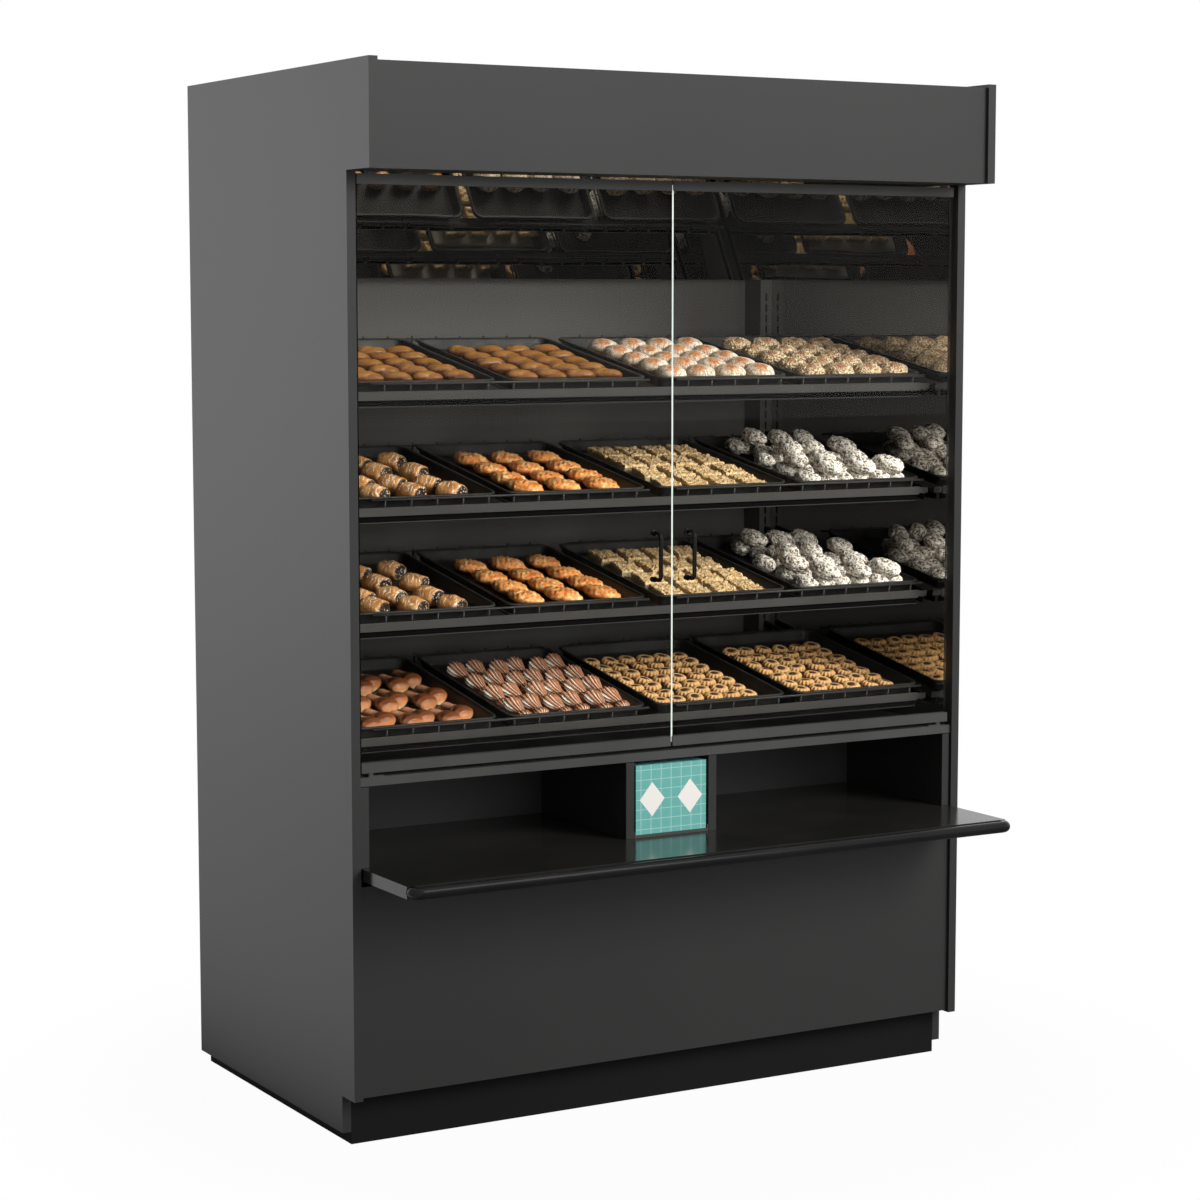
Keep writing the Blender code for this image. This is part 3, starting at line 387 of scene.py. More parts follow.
def glass_material():
    """Clear door glass with a faint reflection; its polished edges are dark green, and those that meet at the middle
    are painted pale green and glow, a painted highlight where they catch the light."""
    middle = 0.01
    s = Shader("looks_door_glass", Roughness=0.02)
    clear = s.node("ShaderNodeBsdfTransparent", 0, {"Color": (0.985, 0.985, 0.975)})
    gloss = s.node("ShaderNodeBsdfGlossy", 0, {"Color": (1.0, 1.0, 1.0),
                                               "Roughness": s.spread(s.noise(3.0), 0.0, 0.02)})
    shine = s.times(s.node("ShaderNodeFresnel", 0, {"IOR": 1.45}), 0.10)
    pane = s.node("ShaderNodeMixShader", 0, {0: shine, 1: clear, 2: gloss})
    # Painted highlight: the edges at the middle get a pale colour and a glow, though no lamp lights them.
    centre = s.math("LESS_THAN", s.math("ABSOLUTE", s.parts(s.place)[0]), middle)
    pale = s.mix(s.noise(40.0, 3.0), (0.50, 0.66, 0.58), (0.66, 0.78, 0.72))
    s.color(s.mix(centre, (0.02, 0.035, 0.03), pale))
    s.set(s.bsdf, "Emission Color", (0.95, 0.97, 0.90))
    s.set(s.bsdf, "Emission Strength", s.times(centre, 0.62))
    geometry = s.outputs("ShaderNodeNewGeometry")
    edge = s.math("LESS_THAN", s.math("ABSOLUTE", s.parts(geometry["Normal"])[1]), 0.5)
    edge = s.times(edge, s.minus(1.0, geometry["Backfacing"]))
    s.surface(s.node("ShaderNodeMixShader", 0, {0: edge, 1: pane, 2: s.bsdf.outputs[0]}))
    return s.material


def lamp_material():
    """Black channel whose lens glows warm."""
    lip = 0.004
    low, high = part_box("canopy_light")
    s = Shader("looks_lamp", Roughness=0.4)
    s.color(s.mix(s.noise(30.0), (0.02, 0.02, 0.02), (0.04, 0.04, 0.04)))
    x, y, z = s.parts(s.place)
    normal_z = s.parts(s.outputs("ShaderNodeNewGeometry")["Normal"])[2]
    inside = s.times(s.math("GREATER_THAN", y, low.y + lip), s.math("LESS_THAN", y, high.y - lip))
    lens = s.times(inside, s.math("LESS_THAN", normal_z, -0.5))
    s.set(s.bsdf, "Emission Color", (1.0, 0.83, 0.60))
    s.set(s.bsdf, "Emission Strength", s.times(lens, 1.5))
    return s.material


def carton_material():
    """Teal printed card with a pale ruled grid, and two pale diamonds on its front."""
    squares, line_half = 7, 0.035
    diamond_x, diamond_half_x, diamond_half_z = 0.046, 0.030, 0.036
    low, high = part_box("tissue_carton")
    s = Shader("looks_carton")
    x, y, z = s.parts(s.place)
    lines = []
    for place, start, end in ((x, low.x, high.x), (z, low.z, high.z)):
        share = s.times(s.minus(place, start), squares / (end - start))
        off_line = s.math("ABSOLUTE", s.minus(s.math("FRACT", share), 0.5))
        lines.append(s.math("LESS_THAN", off_line, line_half))
    ruled = s.math("MAXIMUM", *lines)
    teal = s.mix(s.noise(120.0, 3.0), (0.062, 0.205, 0.185), (0.082, 0.236, 0.214))
    ground = s.mix(s.times(ruled, 0.42), teal, (0.38, 0.46, 0.43))
    across = s.math("ABSOLUTE", s.minus(s.math("ABSOLUTE", x), diamond_x))
    rise = s.math("ABSOLUTE", s.minus(z, (low.z + high.z) / 2))
    share = s.math("ADD", s.math("DIVIDE", across, diamond_half_x), s.math("DIVIDE", rise, diamond_half_z))
    front = s.math("LESS_THAN", y, low.y + 0.001)
    diamond = s.times(s.math("LESS_THAN", share, 1.0), front)
    s.color(s.mix(diamond, ground, (0.45, 0.435, 0.41)))
    s.rough(s.spread(s.noise(60.0), 0.42, 0.55))
    s.bump(s.noise(700.0, 2.0), 0.0002, 0.3)
    return s.material


def paper_material():
    """Baking paper, browned in places and faintly creased."""
    s = Shader("looks_baking_paper")
    s.color(s.mix(s.noise(60.0, 4.0), (0.30, 0.265, 0.205), (0.42, 0.38, 0.30)))
    s.rough(s.spread(s.noise(200.0), 0.70, 0.85))
    s.bump(s.noise(90.0, 4.0), 0.0008, 0.4)
    return s.material


# Looks of the nodes that stay as they are
def dress(names, material):
    for name in names:
        nodes[name].data.materials.clear()
        nodes[name].data.materials.append(material)


SIDES = ("left", "right")
dress(["roof_panel", "header_fascia", "header_soffit", "lower_front_panel", "display_deck", "cubby_shell"]
      + [side + part for side in SIDES for part in ("_side_panel", "_cubby_divider")], laminate)
dress(["door_sill", "tissue_tray"]
      + [side + part for side in SIDES for part in ("_top_pivot", "_door_top_rail", "_door_bottom_rail")], metal)
dress(["back_panel"], back_board)
dress(["plinth_frame", "cabinet_floor"], plinth)
dress(["bag_ledge"], ledge_material())
dress(["sloped_top_panel"], top_panel_material())
dress(["left_upright", "right_upright"], upright_material())
dress(["shelf_%d_frame" % number for number in range(1, 5)], price_rail_material())
dress(["left_door_glass", "right_door_glass"], glass_material())
dress(["tissue_carton"], carton_material())
dress(["canopy_light"], lamp_material())

# Wire grids of round wire
GRIDS = (("left", -0.6494, -0.0114), ("right", 0.0546, 0.6926))
WIRE = 0.002
ROD = 0.0026
ROD_FRONT = -0.0055
ROD_REAR = 0.460
ROD_Z = 0.0205
CROSS_Z = -0.0052
CROSS_Y = (0.0141, 0.2273, 0.4391)
LONG_WIRES = 11
LONG_WIRE_INSET = 0.030
HORN_LIFT = 0.0061
WIRE_BEND = 0.005
WELD = 0.0008


def wire_grid(number, place_name, x_low, x_high):
    batch = Batch()
    place = shelf_place(number)
    for y, z, radius, sides in [(y, ROD_Z, ROD, 12) for y in (ROD_FRONT, ROD_REAR)] + [
            (y, CROSS_Z, WIRE, 10) for y in CROSS_Y]:
        batch.add(sweep([(x_low, y, z), (x_high, y, z)], [radius] * 2, sides, (0, 0, 1)), place)
    front_y, horn_y = ROD_FRONT + 0.0003, ROD_REAR + ROD + WIRE - WELD
    for x in np.linspace(x_low + LONG_WIRE_INSET, x_high - LONG_WIRE_INSET, LONG_WIRES):
        ends = [(x, front_y, ROD_Z), (x, front_y, -WIRE), (x, horn_y, -WIRE), (x, horn_y, ROD_Z + HORN_LIFT)]
        points = [ends[0], *bend(*ends[:3], WIRE_BEND, 4), *bend(*ends[1:], WIRE_BEND, 4), ends[3]]
        batch.add(sweep(points, [WIRE] * len(points), 10, (1, 0, 0)), place)
    name = "shelf_%d_%s_grid" % (number + 1, place_name)
    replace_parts(batch.piece(name + "_wires", wire_metal), name)


for number in range(4):
    for grid in GRIDS:
        wire_grid(number, *grid)

# Sheet pans with a rolled rim and round corners
PAN_CORNER = 0.026


def rounded_ring(inset, z, steps=6):
    half = PAN_WIDTH / 2 - inset
    radius = max(PAN_CORNER - inset, 0.004)
    y_low, y_high = PAN_FRONT + inset + radius, PAN_FRONT + PAN_LENGTH - inset - radius
    x = half - radius
    points = []
    for quarter, centre in enumerate(((x, y_high), (-x, y_high), (-x, y_low), (x, y_low))):
        for step in range(steps + 1):
            angle = math.pi / 2 * (quarter + step / steps)
            points.append((centre[0] + radius * math.cos(angle), centre[1] + radius * math.sin(angle), z))
    return points


def pan_body():
    """Section, as (inset, height), from the underside round the rolled rim to the floor."""
    section = [(0.0240, 0.0), (0.0150, 0.0), (0.0138, 0.0016), (0.0065, 0.0180), (0.0030, 0.0206),
               (0.0012, 0.0208), (0.0002, 0.0218), (0.0, 0.0232), (0.0006, 0.0246), (0.0020, 0.0254),
               (0.0052, 0.0252), (0.0076, 0.0238), (0.0086, 0.0210), (0.0140, 0.0050),
               (0.0156, 0.0026), (0.0180, 0.0016), (0.0240, 0.0015)]
    lift = 0.0003
    rings = [rounded_ring(inset, z + lift) for inset, z in section]
    middle_y = PAN_FRONT + PAN_LENGTH / 2
    return closed_rings(rings, (0, middle_y, lift), (0, middle_y, PAN_FLOOR))


pan_looks = pan_material()
for number in range(4):
    for column in range(4):
        batch = Batch()
        name = "shelf_%d_pan_%d" % (number + 1, column + 1)
        batch.add(pan_body(), shelf_place(number) @ Matrix.Translation(((column - 1.5) * PAN_PITCH, 0, 0)))
        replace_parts(batch.piece(name + "_sheet", pan_looks), name)

# Door handles and the ledge's bumper as smooth tubes
HANDLE_X, GLASS_FRONT, GLASS_BACK = 0.04055, -0.27105, -0.26505
HANDLE_FEET = (1.105, 1.201)
HANDLE_REACH = 0.027
SEATED = 0.0003


def handle(side, name):
    """The bent bar; at each foot a collar on the glass, a stud through it and a screw head behind."""
    batch = Batch()
    bar, bend_radius = 0.0045, 0.010
    x, foot_y, bar_y = side * HANDLE_X, GLASS_FRONT - SEATED, GLASS_FRONT - HANDLE_REACH
    low, high = HANDLE_FEET
    corners = [(x, foot_y, low), (x, bar_y, low), (x, bar_y, high), (x, foot_y, high)]
    points = [corners[0], *bend(*corners[:3], bend_radius, 8), *bend(*corners[1:], bend_radius, 8), corners[3]]
    batch.add(sweep(points, [bar] * len(points), 20, (1, 0, 0)))
    for z in HANDLE_FEET:
        for start_y, depths, radii, sides in (
                (foot_y, (0, -0.0012, -0.0016), (0.0062, 0.0062, 0.0056), 24),
                (foot_y, (0, GLASS_BACK + SEATED - foot_y), (0.0022, 0.0022), 12),
                (GLASS_BACK, (SEATED, 0.0022, 0.0031, 0.0033), (0.0055, 0.0055, 0.0046, 0.0030), 24)):
            batch.add(sweep([(x, start_y + depth, z) for depth in depths], radii, sides, (1, 0, 0)))
    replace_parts(batch.piece(name + "_tube", gloss_metal, body=name.replace("_handle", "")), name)


handle(-1, "left_door_handle")
handle(1, "right_door_handle")


def bumper():
    """A round rail along the ledge's front edge whose ends turn back to it."""
    batch = Batch()
    end_x, rail_y, foot_y, z, radius, bend_radius = 0.7050, -0.50105, -0.48135, 0.5565, 0.012, 0.014
    corners = [(-end_x, foot_y, z), (-end_x, rail_y, z), (0, rail_y, z)]
    half = [Vector(corners[0]), *bend(*corners, bend_radius, 8)]
    points = half + [Vector((-point.x, point.y, point.z)) for point in reversed(half)]
    batch.add(sweep(points, [radius] * len(points), 28, (0, 0, 1)))
    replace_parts(batch.piece("ledge_bumper_tube", gloss_metal), "ledge_bumper")


bumper()


# Mirrors on the inner side walls, from behind the doors to the back under the sloped panel
TOP_PANEL_SLOPE = math.radians(54.6)
MIRROR_X = (0.7145, 0.7170)


def mirror(side, name):
    low_z, high_z, front_y, back_y = 0.7480, 1.9250, -0.2560, 0.5062
    clearance = 0.0005
    fold_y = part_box("right_upright")[0].y - clearance
    fold_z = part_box("sloped_top_panel")[0].z - clearance
    lean = math.tan(TOP_PANEL_SLOPE)
    outline = [(front_y, low_z), (back_y, low_z), (back_y, fold_z), (fold_y, fold_z),
               (fold_y - (high_z - fold_z) / lean, high_z), (front_y, high_z)]
    count = len(outline)
    points = [(side * x, y, z) for x in MIRROR_X for y, z in outline]
    faces = [tuple(range(count)), tuple(range(2 * count - 1, count - 1, -1))]
    faces += [(i, count + i, count + (i + 1) % count, (i + 1) % count) for i in range(count)]
    if side > 0:
        faces = [face[::-1] for face in faces]
    batch = Batch()
    batch.add((np.array(points, float), faces))
    batch.piece(name, mirror_looks, smooth=False)


mirror_looks = mirror_material()
mirror(-1, "left_wall_mirror")
mirror(1, "right_wall_mirror")


# Baked goods: each maker returns a body that stands on z = 0, and the mask that its looks read or None
def swollen(points, amount, scale, seed):
    return points * (1 + amount * lumps(points, scale, seed)[:, None])


def seat(points, depth=0.0):
    """Cuts the underside flat at a depth, and stands it on z = 0."""
    points[:, 2] = np.maximum(points[:, 2], -depth) + depth


def twist(seed):
    """A twist of two rolled strands, lying along X; the mask is its height."""
    steps, sides, half_x, half_y, half_z = 44, 40, 0.0335, 0.0166, 0.0132
    t = np.linspace(-1, 1, steps)
    body = np.maximum(1 - np.abs(t) ** 2.4, 0.004) ** 0.5
    angles = around(sides)
    strands = 0.84 + 0.18 * np.abs(np.cos(angles[None, :] + 2.0 * t[:, None] + seed)) ** 0.5
    swell = body[:, None] * strands
    rings = [[(half_x * t[i], half_y * swell[i, j] * math.cos(a), half_z * swell[i, j] * math.sin(a))
              for j, a in enumerate(angles)] for i in range(steps)]
    points, faces = closed_rings(rings, (-0.0337, 0, 0), (0.0337, 0, 0))
    points = swollen(points, 0.05, 0.022, seed)
    points[:, 1] += 0.0035 * np.cos(points[:, 0] / half_x * math.pi / 2)
    seat(points, 0.0130)
    return (points, faces), np.clip(points[:, 2] / 0.026, 0, 1)


def mound(half_x, half_y, height, profile, outline, sides, rows):
    """A closed mound on z = 0: a lower profile is squarer, and an outline over 1 more pointed."""
    rings = []
    for row in range(1, rows):
        angle = math.pi * (row / rows)
        flat = math.sin(angle) ** profile
        turns = [(math.cos(a), math.sin(a)) for a in around(sides)]
        drawn = [[math.copysign(abs(part) ** outline, part) for part in turn] for turn in turns]
        rings.append([(half_x * flat * x, half_y * flat * y, height * (1 - math.cos(angle)) / 2) for x, y in drawn])
    return closed_rings(rings, (0, 0, 0), (0, 0, height))


def dome(radius, height, seed, rough, fine, sides=40, rows=16):
    """A low round bun with a lumpy crust."""
    points, faces = mound(radius, radius, height, 0.72, 1, sides, rows)
    outward = points - np.array((0, 0, height * 0.35))
    outward /= np.linalg.norm(outward, axis=1)[:, None]
    points = points + outward * (lumps(points, 0.022, seed) * rough + lumps(points, 0.006, seed + 5) * fine)[:, None]
    seat(points)
    return points, faces


def iced_bun(seed):
    return dome(0.0335, 0.039, seed, 0.0016, 0.0007), None


def nut_bun(seed):
    points, faces = dome(0.0330, 0.038, seed, 0.0030, 0.0022, sides=72, rows=32)
    grain = lumps(points, 0.0032, seed + 9)
    points = points * (1 + 0.045 * grain[:, None])
    seat(points)
    return (points, faces), np.clip(0.5 + 0.6 * grain, 0, 1)


def drizzled_roll(seed):
    """A slice of a rolled log, lying along X; the mask is 1 on its cut ends."""
    sides, radius, half, dish, flatness = 44, 0.0235, 0.0258, 0.003, 0.86
    places = ((1.0, 0.70), (0.97, 0.80), (0.90, 0.90), (0.75, 0.97), (0.5, 1.02), (0.25, 1.05))
    half_section = [(half - dish, size, 1.0) for size in (0.25, 0.5)]
    half_section += [(place * half, size, float(place > 0.95)) for place, size in places]
    section = [(-x, size, cut) for x, size, cut in half_section] + [(0.0, 1.06, 0.0)] + half_section[::-1]
    rings = [[(x, radius * size * math.cos(a), flatness * (radius * size) * math.sin(a)) for a in around(sides)]
             for x, size, cut in section]
    points, faces = closed_rings(rings, (-half + 0.002, 0, 0), (half - 0.002, 0, 0))
    masks = np.append(np.repeat([cut for x, size, cut in section], sides), [1.0, 1.0])
    points = points + points * (0.09 * lumps(points, 0.019, seed))[:, None]
    seat(points, 0.0150)
    return (points, faces), masks


def glazed_oval(seed):
    """A pointed oval pastry along X with slanting ridges."""
    height = 0.0265
    points, faces = mound(0.0490, 0.0310, height, 0.75, 1.30, 48, 16)
    ridge = np.sin((points[:, 0] + points[:, 1] * 0.8) * 2 * math.pi / 0.0135 + seed)
    high = np.clip(points[:, 2] / height, 0, 1)
    points[:, 2] += (0.0014 * ridge + 0.0020 * lumps(points, 0.014, seed)) * high
    points[:, :2] *= (1 + 0.035 * lumps(points, 0.02, seed + 3) + 0.03 * ridge)[:, None]
    seat(points)
    return (points, faces), high


def crumb_bar(seed):
    """A cut bar with a rough crumb top; the mask is 1 on the crumb."""
    half_x, half_y, height, along_x, along_y = 0.0255, 0.0415, 0.0190, 20, 32
    rows = [(0.0, 0.0), (0.0, 0.007), (0.0002, 0.0115), (-0.0008, 0.0138), (0.0004, height - 0.001)]
    rows += [(0.0020 + 0.0026 * step, height) for step in range(9)]
    rings, mask = [], []
    for inset, z in rows:
        x, y = max(half_x - inset, 0.0015), max(half_y - inset * 1.6, 0.0015)
        ring = [(x, -y + 2 * y * i / along_y, z) for i in range(along_y)]
        ring += [(x - 2 * x * i / along_x, y, z) for i in range(along_x)]
        rings.append(ring + [(-across, -ahead, z) for across, ahead, z in ring])
        mask.append(1.0 if z > 0.0120 else 0.0)
    points, faces = closed_rings(rings, (0, 0, 0), (0, 0, height))
    masks = np.append(np.repeat(mask, 2 * (along_x + along_y)), [0.0, 1.0])
    crumbs = lumps(points, 0.0090, seed) * 0.0030 + lumps(points, 0.0048, seed + 2, 1) * 0.0026
    points[:, 2] += crumbs * masks
    points[:, :2] *= (1 + crumbs * masks * 10)[:, None]
    return (points, faces), masks


def sugared_oval(seed):
    """A craggy oval under a crust of sugar; the mask is low in its pits."""
    sides, rows, half_x, half_y, half_z = 56, 44, 0.0365, 0.0215, 0.0180
    rings = []
    for row in range(1, rows):
        angle = math.pi * row / rows
        flat = math.sin(angle) ** 0.80
        rings.append([(half_x * math.cos(angle), half_y * flat * math.cos(a), half_z * flat * math.sin(a))
                      for a in around(sides)])
    points, faces = closed_rings(rings, (half_x, 0, 0), (-half_x, 0, 0))
    faces = [face[::-1] for face in faces]
    crag = lumps(points, 0.011, seed)
    grit = lumps(points, 0.0038, seed + 4)
    outward = points / np.linalg.norm(points, axis=1)[:, None]
    points = points + outward * (crag * 0.0026 + grit * 0.0017)[:, None]
    seat(points, 0.016)
    return (points, faces), np.clip(0.5 + 0.30 * crag + 0.60 * grit, 0, 1)


def horn_roll(seed):
    """A roll with a plump smooth end and a narrow ridged tip along X; the mask is 1 on the tip."""
    steps, sides = 96, 24
    t = np.linspace(0, 1, steps)
    places = [0, 0.03, 0.12, 0.30, 0.45, 0.56, 0.70, 0.84, 0.94, 0.98, 1]
    wide = [0.003, 0.0075, 0.0095, 0.0110, 0.0130, 0.0195, 0.0240, 0.0245, 0.0185, 0.0110, 0.002]
    high = [0.003, 0.0075, 0.0090, 0.0095, 0.0105, 0.0130, 0.0148, 0.0150, 0.0125, 0.008, 0.002]
    wide, high = np.interp(t, places, wide), np.interp(t, places, high)
    wave = np.cos(t * 2 * math.pi * 8 / 0.5)
    ridges = 1 + 0.17 * wave * np.clip((0.52 - t) * 9, 0, 1)
    angles = around(sides)
    bow = 0.006 * np.sin(math.pi * t) - 0.003
    rings = [[(-0.050 + 0.098 * t[i], bow[i] + wide[i] * ridges[i] * math.cos(a),
               high[i] + high[i] * ridges[i] * math.sin(a)) for a in angles] for i in range(steps)]
    points, faces = closed_rings(rings, (-0.0505, -0.003, 0.003), (0.0482, -0.003, 0.002))
    points = swollen(points, 0.03, 0.02, seed)
    seat(points)
    tip = np.append(np.repeat(np.clip((0.56 - t) * 7, 0, 1) * (0.70 - 0.30 * wave), sides), [1.0, 0.0])
    return (points, faces), tip


def cream_shell(seed):
    """A ridged fan of pastry that rises to the rear, along Y; the mask is the cream in its grooves."""
    steps, sides = 40, 104
    t = np.linspace(0, 1, steps)
    places = [0, 0.04, 0.14, 0.28, 0.40, 0.55, 0.78, 0.92, 0.97, 1]
    wide = np.interp(t, places, [0.002, 0.011, 0.0175, 0.0180, 0.0105, 0.0140, 0.0195, 0.0205, 0.0170, 0.003])
    high = np.interp(t, places, [0.002, 0.008, 0.0120, 0.0115, 0.0075, 0.0110, 0.0160, 0.0165, 0.0130, 0.003])
    angles = around(sides)
    phase = angles[None, :] * 13 + 1.2 * np.sin(t[:, None] * 4 + seed)
    ridges = 1 + 0.13 * np.cos(phase)
    rings = [[(0.004 * math.sin(t[i] * 5) + wide[i] * ridges[i, j] * math.cos(a), -0.044 + 0.088 * t[i],
               0.0125 + 0.020 * t[i] ** 1.8 + high[i] * ridges[i, j] * math.sin(a))
              for j, a in enumerate(angles)] for i in range(steps)]
    points, faces = closed_rings(rings, (0, -0.0445, 0.0125), (-0.003, 0.0445, 0.0325))
    faces = [face[::-1] for face in faces]
    points = swollen(points, 0.05, 0.02, seed) * np.array((0.92, 0.80, 0.90))
    seat(points)
    groove = np.clip(0.5 - 0.5 * np.cos(phase), 0, 1) ** 9
    side_cream = np.clip((-np.cos(angles[None, :]) - 0.75) * 4.0, 0, 1) * np.clip((t[:, None] - 0.45) * 4, 0, 1)
    cream = np.maximum(groove, side_cream)
    return (points, faces), np.append(cream.ravel(), [0.0, 0.3])


def cookie(seed):
    """A fluted round cookie whose hollow is filled to a low dome; the mask is its radius."""
    sides, widest = 72, 0.0236
    section = [(0.010, 0.0), (0.0200, 0.0004), (0.0228, 0.0030), (0.0236, 0.0065), (0.0228, 0.0105),
               (0.0200, 0.0138), (0.0158, 0.0148), (0.0128, 0.0143), (0.0112, 0.0138), (0.0104, 0.0142),
               (0.0080, 0.0150), (0.0045, 0.0156)]
    rings = []
    for radius, z in section:
        depth = np.interp(radius, [0.0112, 0.0135, widest], [0.0, 0.045, 0.10])
        flutes = 1 + depth * np.cos(around(sides) * 14 + seed + radius * 60)
        rings.append([(radius * f * math.cos(a), radius * f * math.sin(a), z) for f, a in zip(flutes, around(sides))])
    points, faces = closed_rings(rings, (0, 0, 0), (0, 0, 0.0158))
    reach = np.hypot(points[:, 0], points[:, 1]) / widest
    reach[points[:, 2] < 0.002] = 1.0
    points = swollen(points, 0.02, 0.02, seed) * np.array((0.82, 0.82, 0.90))
    return (points, faces), reach


# Looks of the goods
def goods_shader(name, rough, coat=0.0):
    return Shader(name, Roughness=rough, Coat_Weight=coat, Coat_Roughness=0.15)


def twist_looks():
    s = goods_shader("looks_twist", 0.35, 0.6)
    tone = s.math("MULTIPLY_ADD", s.noise(45.0, 4.0), 0.8, s.times(s.shade, 0.35))
    brown = s.mix(s.range(tone, 0.30, 0.85), (0.060, 0.016, 0.0022), (0.135, 0.043, 0.006))
    # The upper part of each twist turns golden: a painted highlight where the light falls on top.
    golden_highlight = s.mix(s.range(s.mask, 0.55, 0.98, smooth=True), brown, (0.27, 0.118, 0.021))
    s.color(s.mix(s.range(s.mask, 0.35, 0.05), golden_highlight, (0.20, 0.085, 0.022)))
    s.rough(s.spread(s.noise(80.0), 0.24, 0.38))
    s.bump(s.noise(180.0, 3.0), 0.0012, 0.3)
    return s.material


def iced_looks():
    s = goods_shader("looks_iced_bun", 0.5)
    x, y, z = s.parts(s.local)
    aside, ahead = s.math("ADD", x, 0.009), s.math("ADD", y, 0.014)
    reach = s.math("DIVIDE", s.length(s.point(X=aside, Y=ahead)), 0.0150)
    spoke = s.times(s.math("ARCTAN2", ahead, aside), 4.5)
    fan = s.point(X=spoke, Y=s.times(reach, 0.9), Z=s.times(s.shade, 40.0))
    streak = s.noise(1.8, 4.0, 0.7, at=fan)
    ragged = s.math("MULTIPLY_ADD", streak, 1.6, s.minus(reach, 0.8))
    crust = s.mix(s.range(s.noise(190.0, 3.0), 0.38, 0.62), (0.25, 0.080, 0.026), (0.58, 0.28, 0.125))
    bare = s.math("MULTIPLY_ADD", streak, 0.6, s.times(s.noise(230.0, 4.0, 0.7), 0.4))
    white = s.mix(s.range(bare, 0.44, 0.53), (0.21, 0.135, 0.070), (0.72, 0.635, 0.52))
    top = s.mix(s.range(ragged, 0.70, 1.15), crust, white)
    # The speckled sides are the bun's own colour; their band reaches higher on the −x side, away from the light, as
    # painted shade.
    lit = s.math("MULTIPLY_ADD", x, 0.35, z)
    side = s.range(s.math("MULTIPLY_ADD", streak, 0.010, lit), 0.022, 0.012)
    flecks = s.mix(s.range(s.noise(330.0, 2.0), 0.44, 0.56), (0.26, 0.17, 0.060), (0.60, 0.50, 0.34))
    s.color(s.mix(side, top, flecks))
    s.bump(s.noise(240.0, 4.0, 0.7), 0.0028, 0.8)
    return s.material


def nut_looks():
    s = goods_shader("looks_nut_bun", 0.7)
    chips = s.cells(250.0)
    tint = s.parts(s.cells(250.0, output="Color"))[0]
    x, y, z = s.parts(s.local)
    chip = s.mix(tint, (0.46, 0.335, 0.195), (0.84, 0.69, 0.47))
    # Dark between the chips and in the low pits where the mask is low: partly the crust's own colour and partly
    # painted shade in these hollows.
    dark_gaps_and_pit_shade = s.math("MAXIMUM", s.range(chips, 0.42, 0.75), s.range(s.mask, 0.32, 0.05))
    reach = s.length(s.point(X=s.math("ADD", x, 0.009), Y=s.math("ADD", y, 0.013)))
    reach = s.math("DIVIDE", reach, 0.0150)
    ragged = s.math("MULTIPLY_ADD", s.noise(150.0, 4.0, 0.7), 1.6, s.minus(reach, 0.8))
    bald = s.times(s.range(ragged, 0.90, 0.55), 0.8)
    s.color(s.mix(bald, s.mix(dark_gaps_and_pit_shade, chip, (0.17, 0.090, 0.040)), (0.25, 0.115, 0.050)))
    s.bump(s.range(chips, 0.0, 0.7, 1.0, 0.0), 0.0026, 1.0)
    return s.material


def roll_looks():
    s = goods_shader("looks_drizzled_roll", 0.35, 0.4)
    x, y, z = s.parts(s.local)
    crust = s.mix(s.spread(s.noise(60.0, 4.0)), (0.34, 0.125, 0.030), (0.68, 0.34, 0.110))
    slant = s.math("ADD", s.math("MULTIPLY_ADD", y, 0.30, x), s.times(s.shade, 0.02))
    wave = s.math("MULTIPLY_ADD", s.noise(55.0, 2.0), 0.030, slant)
    line = s.math("ABSOLUTE", s.minus(s.math("FRACT", s.times(wave, 100.0)), 0.5))
    drizzle = s.times(s.range(line, 0.15, 0.07), s.range(z, 0.014, 0.022))
    drizzle = s.times(drizzle, s.range(s.noise(95.0, 2.0), 0.40, 0.50))
    drizzled = s.mix(s.times(drizzle, 0.85), crust, (0.86, 0.78, 0.66))
    flecks = s.range(s.cells(210.0), 0.34, 0.20)
    rind = s.range(s.length(s.point(Y=y, Z=s.minus(z, 0.0180))), 0.0165, 0.0185)
    dark = s.mix(rind, (0.026, 0.016, 0.011), (0.30, 0.15, 0.06))
    ends = s.mix(flecks, dark, (0.66, 0.58, 0.46))
    low_flecks = s.times(flecks, s.range(z, 0.012, 0.006))
    sides = s.mix(low_flecks, drizzled, (0.62, 0.52, 0.38))
    s.color(s.mix(s.mask, sides, ends))
    s.bump(s.math("MULTIPLY_ADD", drizzle, 0.6, s.noise(240.0, 3.0)), 0.0014, 0.5)
    return s.material


def oval_looks():
    s = goods_shader("looks_glazed_oval", 0.3, 0.6)
    spots = s.noise(75.0, 4.0, 0.65)
    red = s.mix(s.range(s.noise(130.0, 3.0), 0.35, 0.65), (0.56, 0.130, 0.030), (0.98, 0.42, 0.115))
    gold = s.mix(s.range(spots, 0.50, 0.66), red, (1.0, 0.72, 0.32))
    s.color(s.mix(s.range(s.mask, 0.42, 0.10), gold, (0.78, 0.27, 0.080)))
    s.bump(s.noise(150.0, 4.0), 0.0018, 0.6)
    return s.material


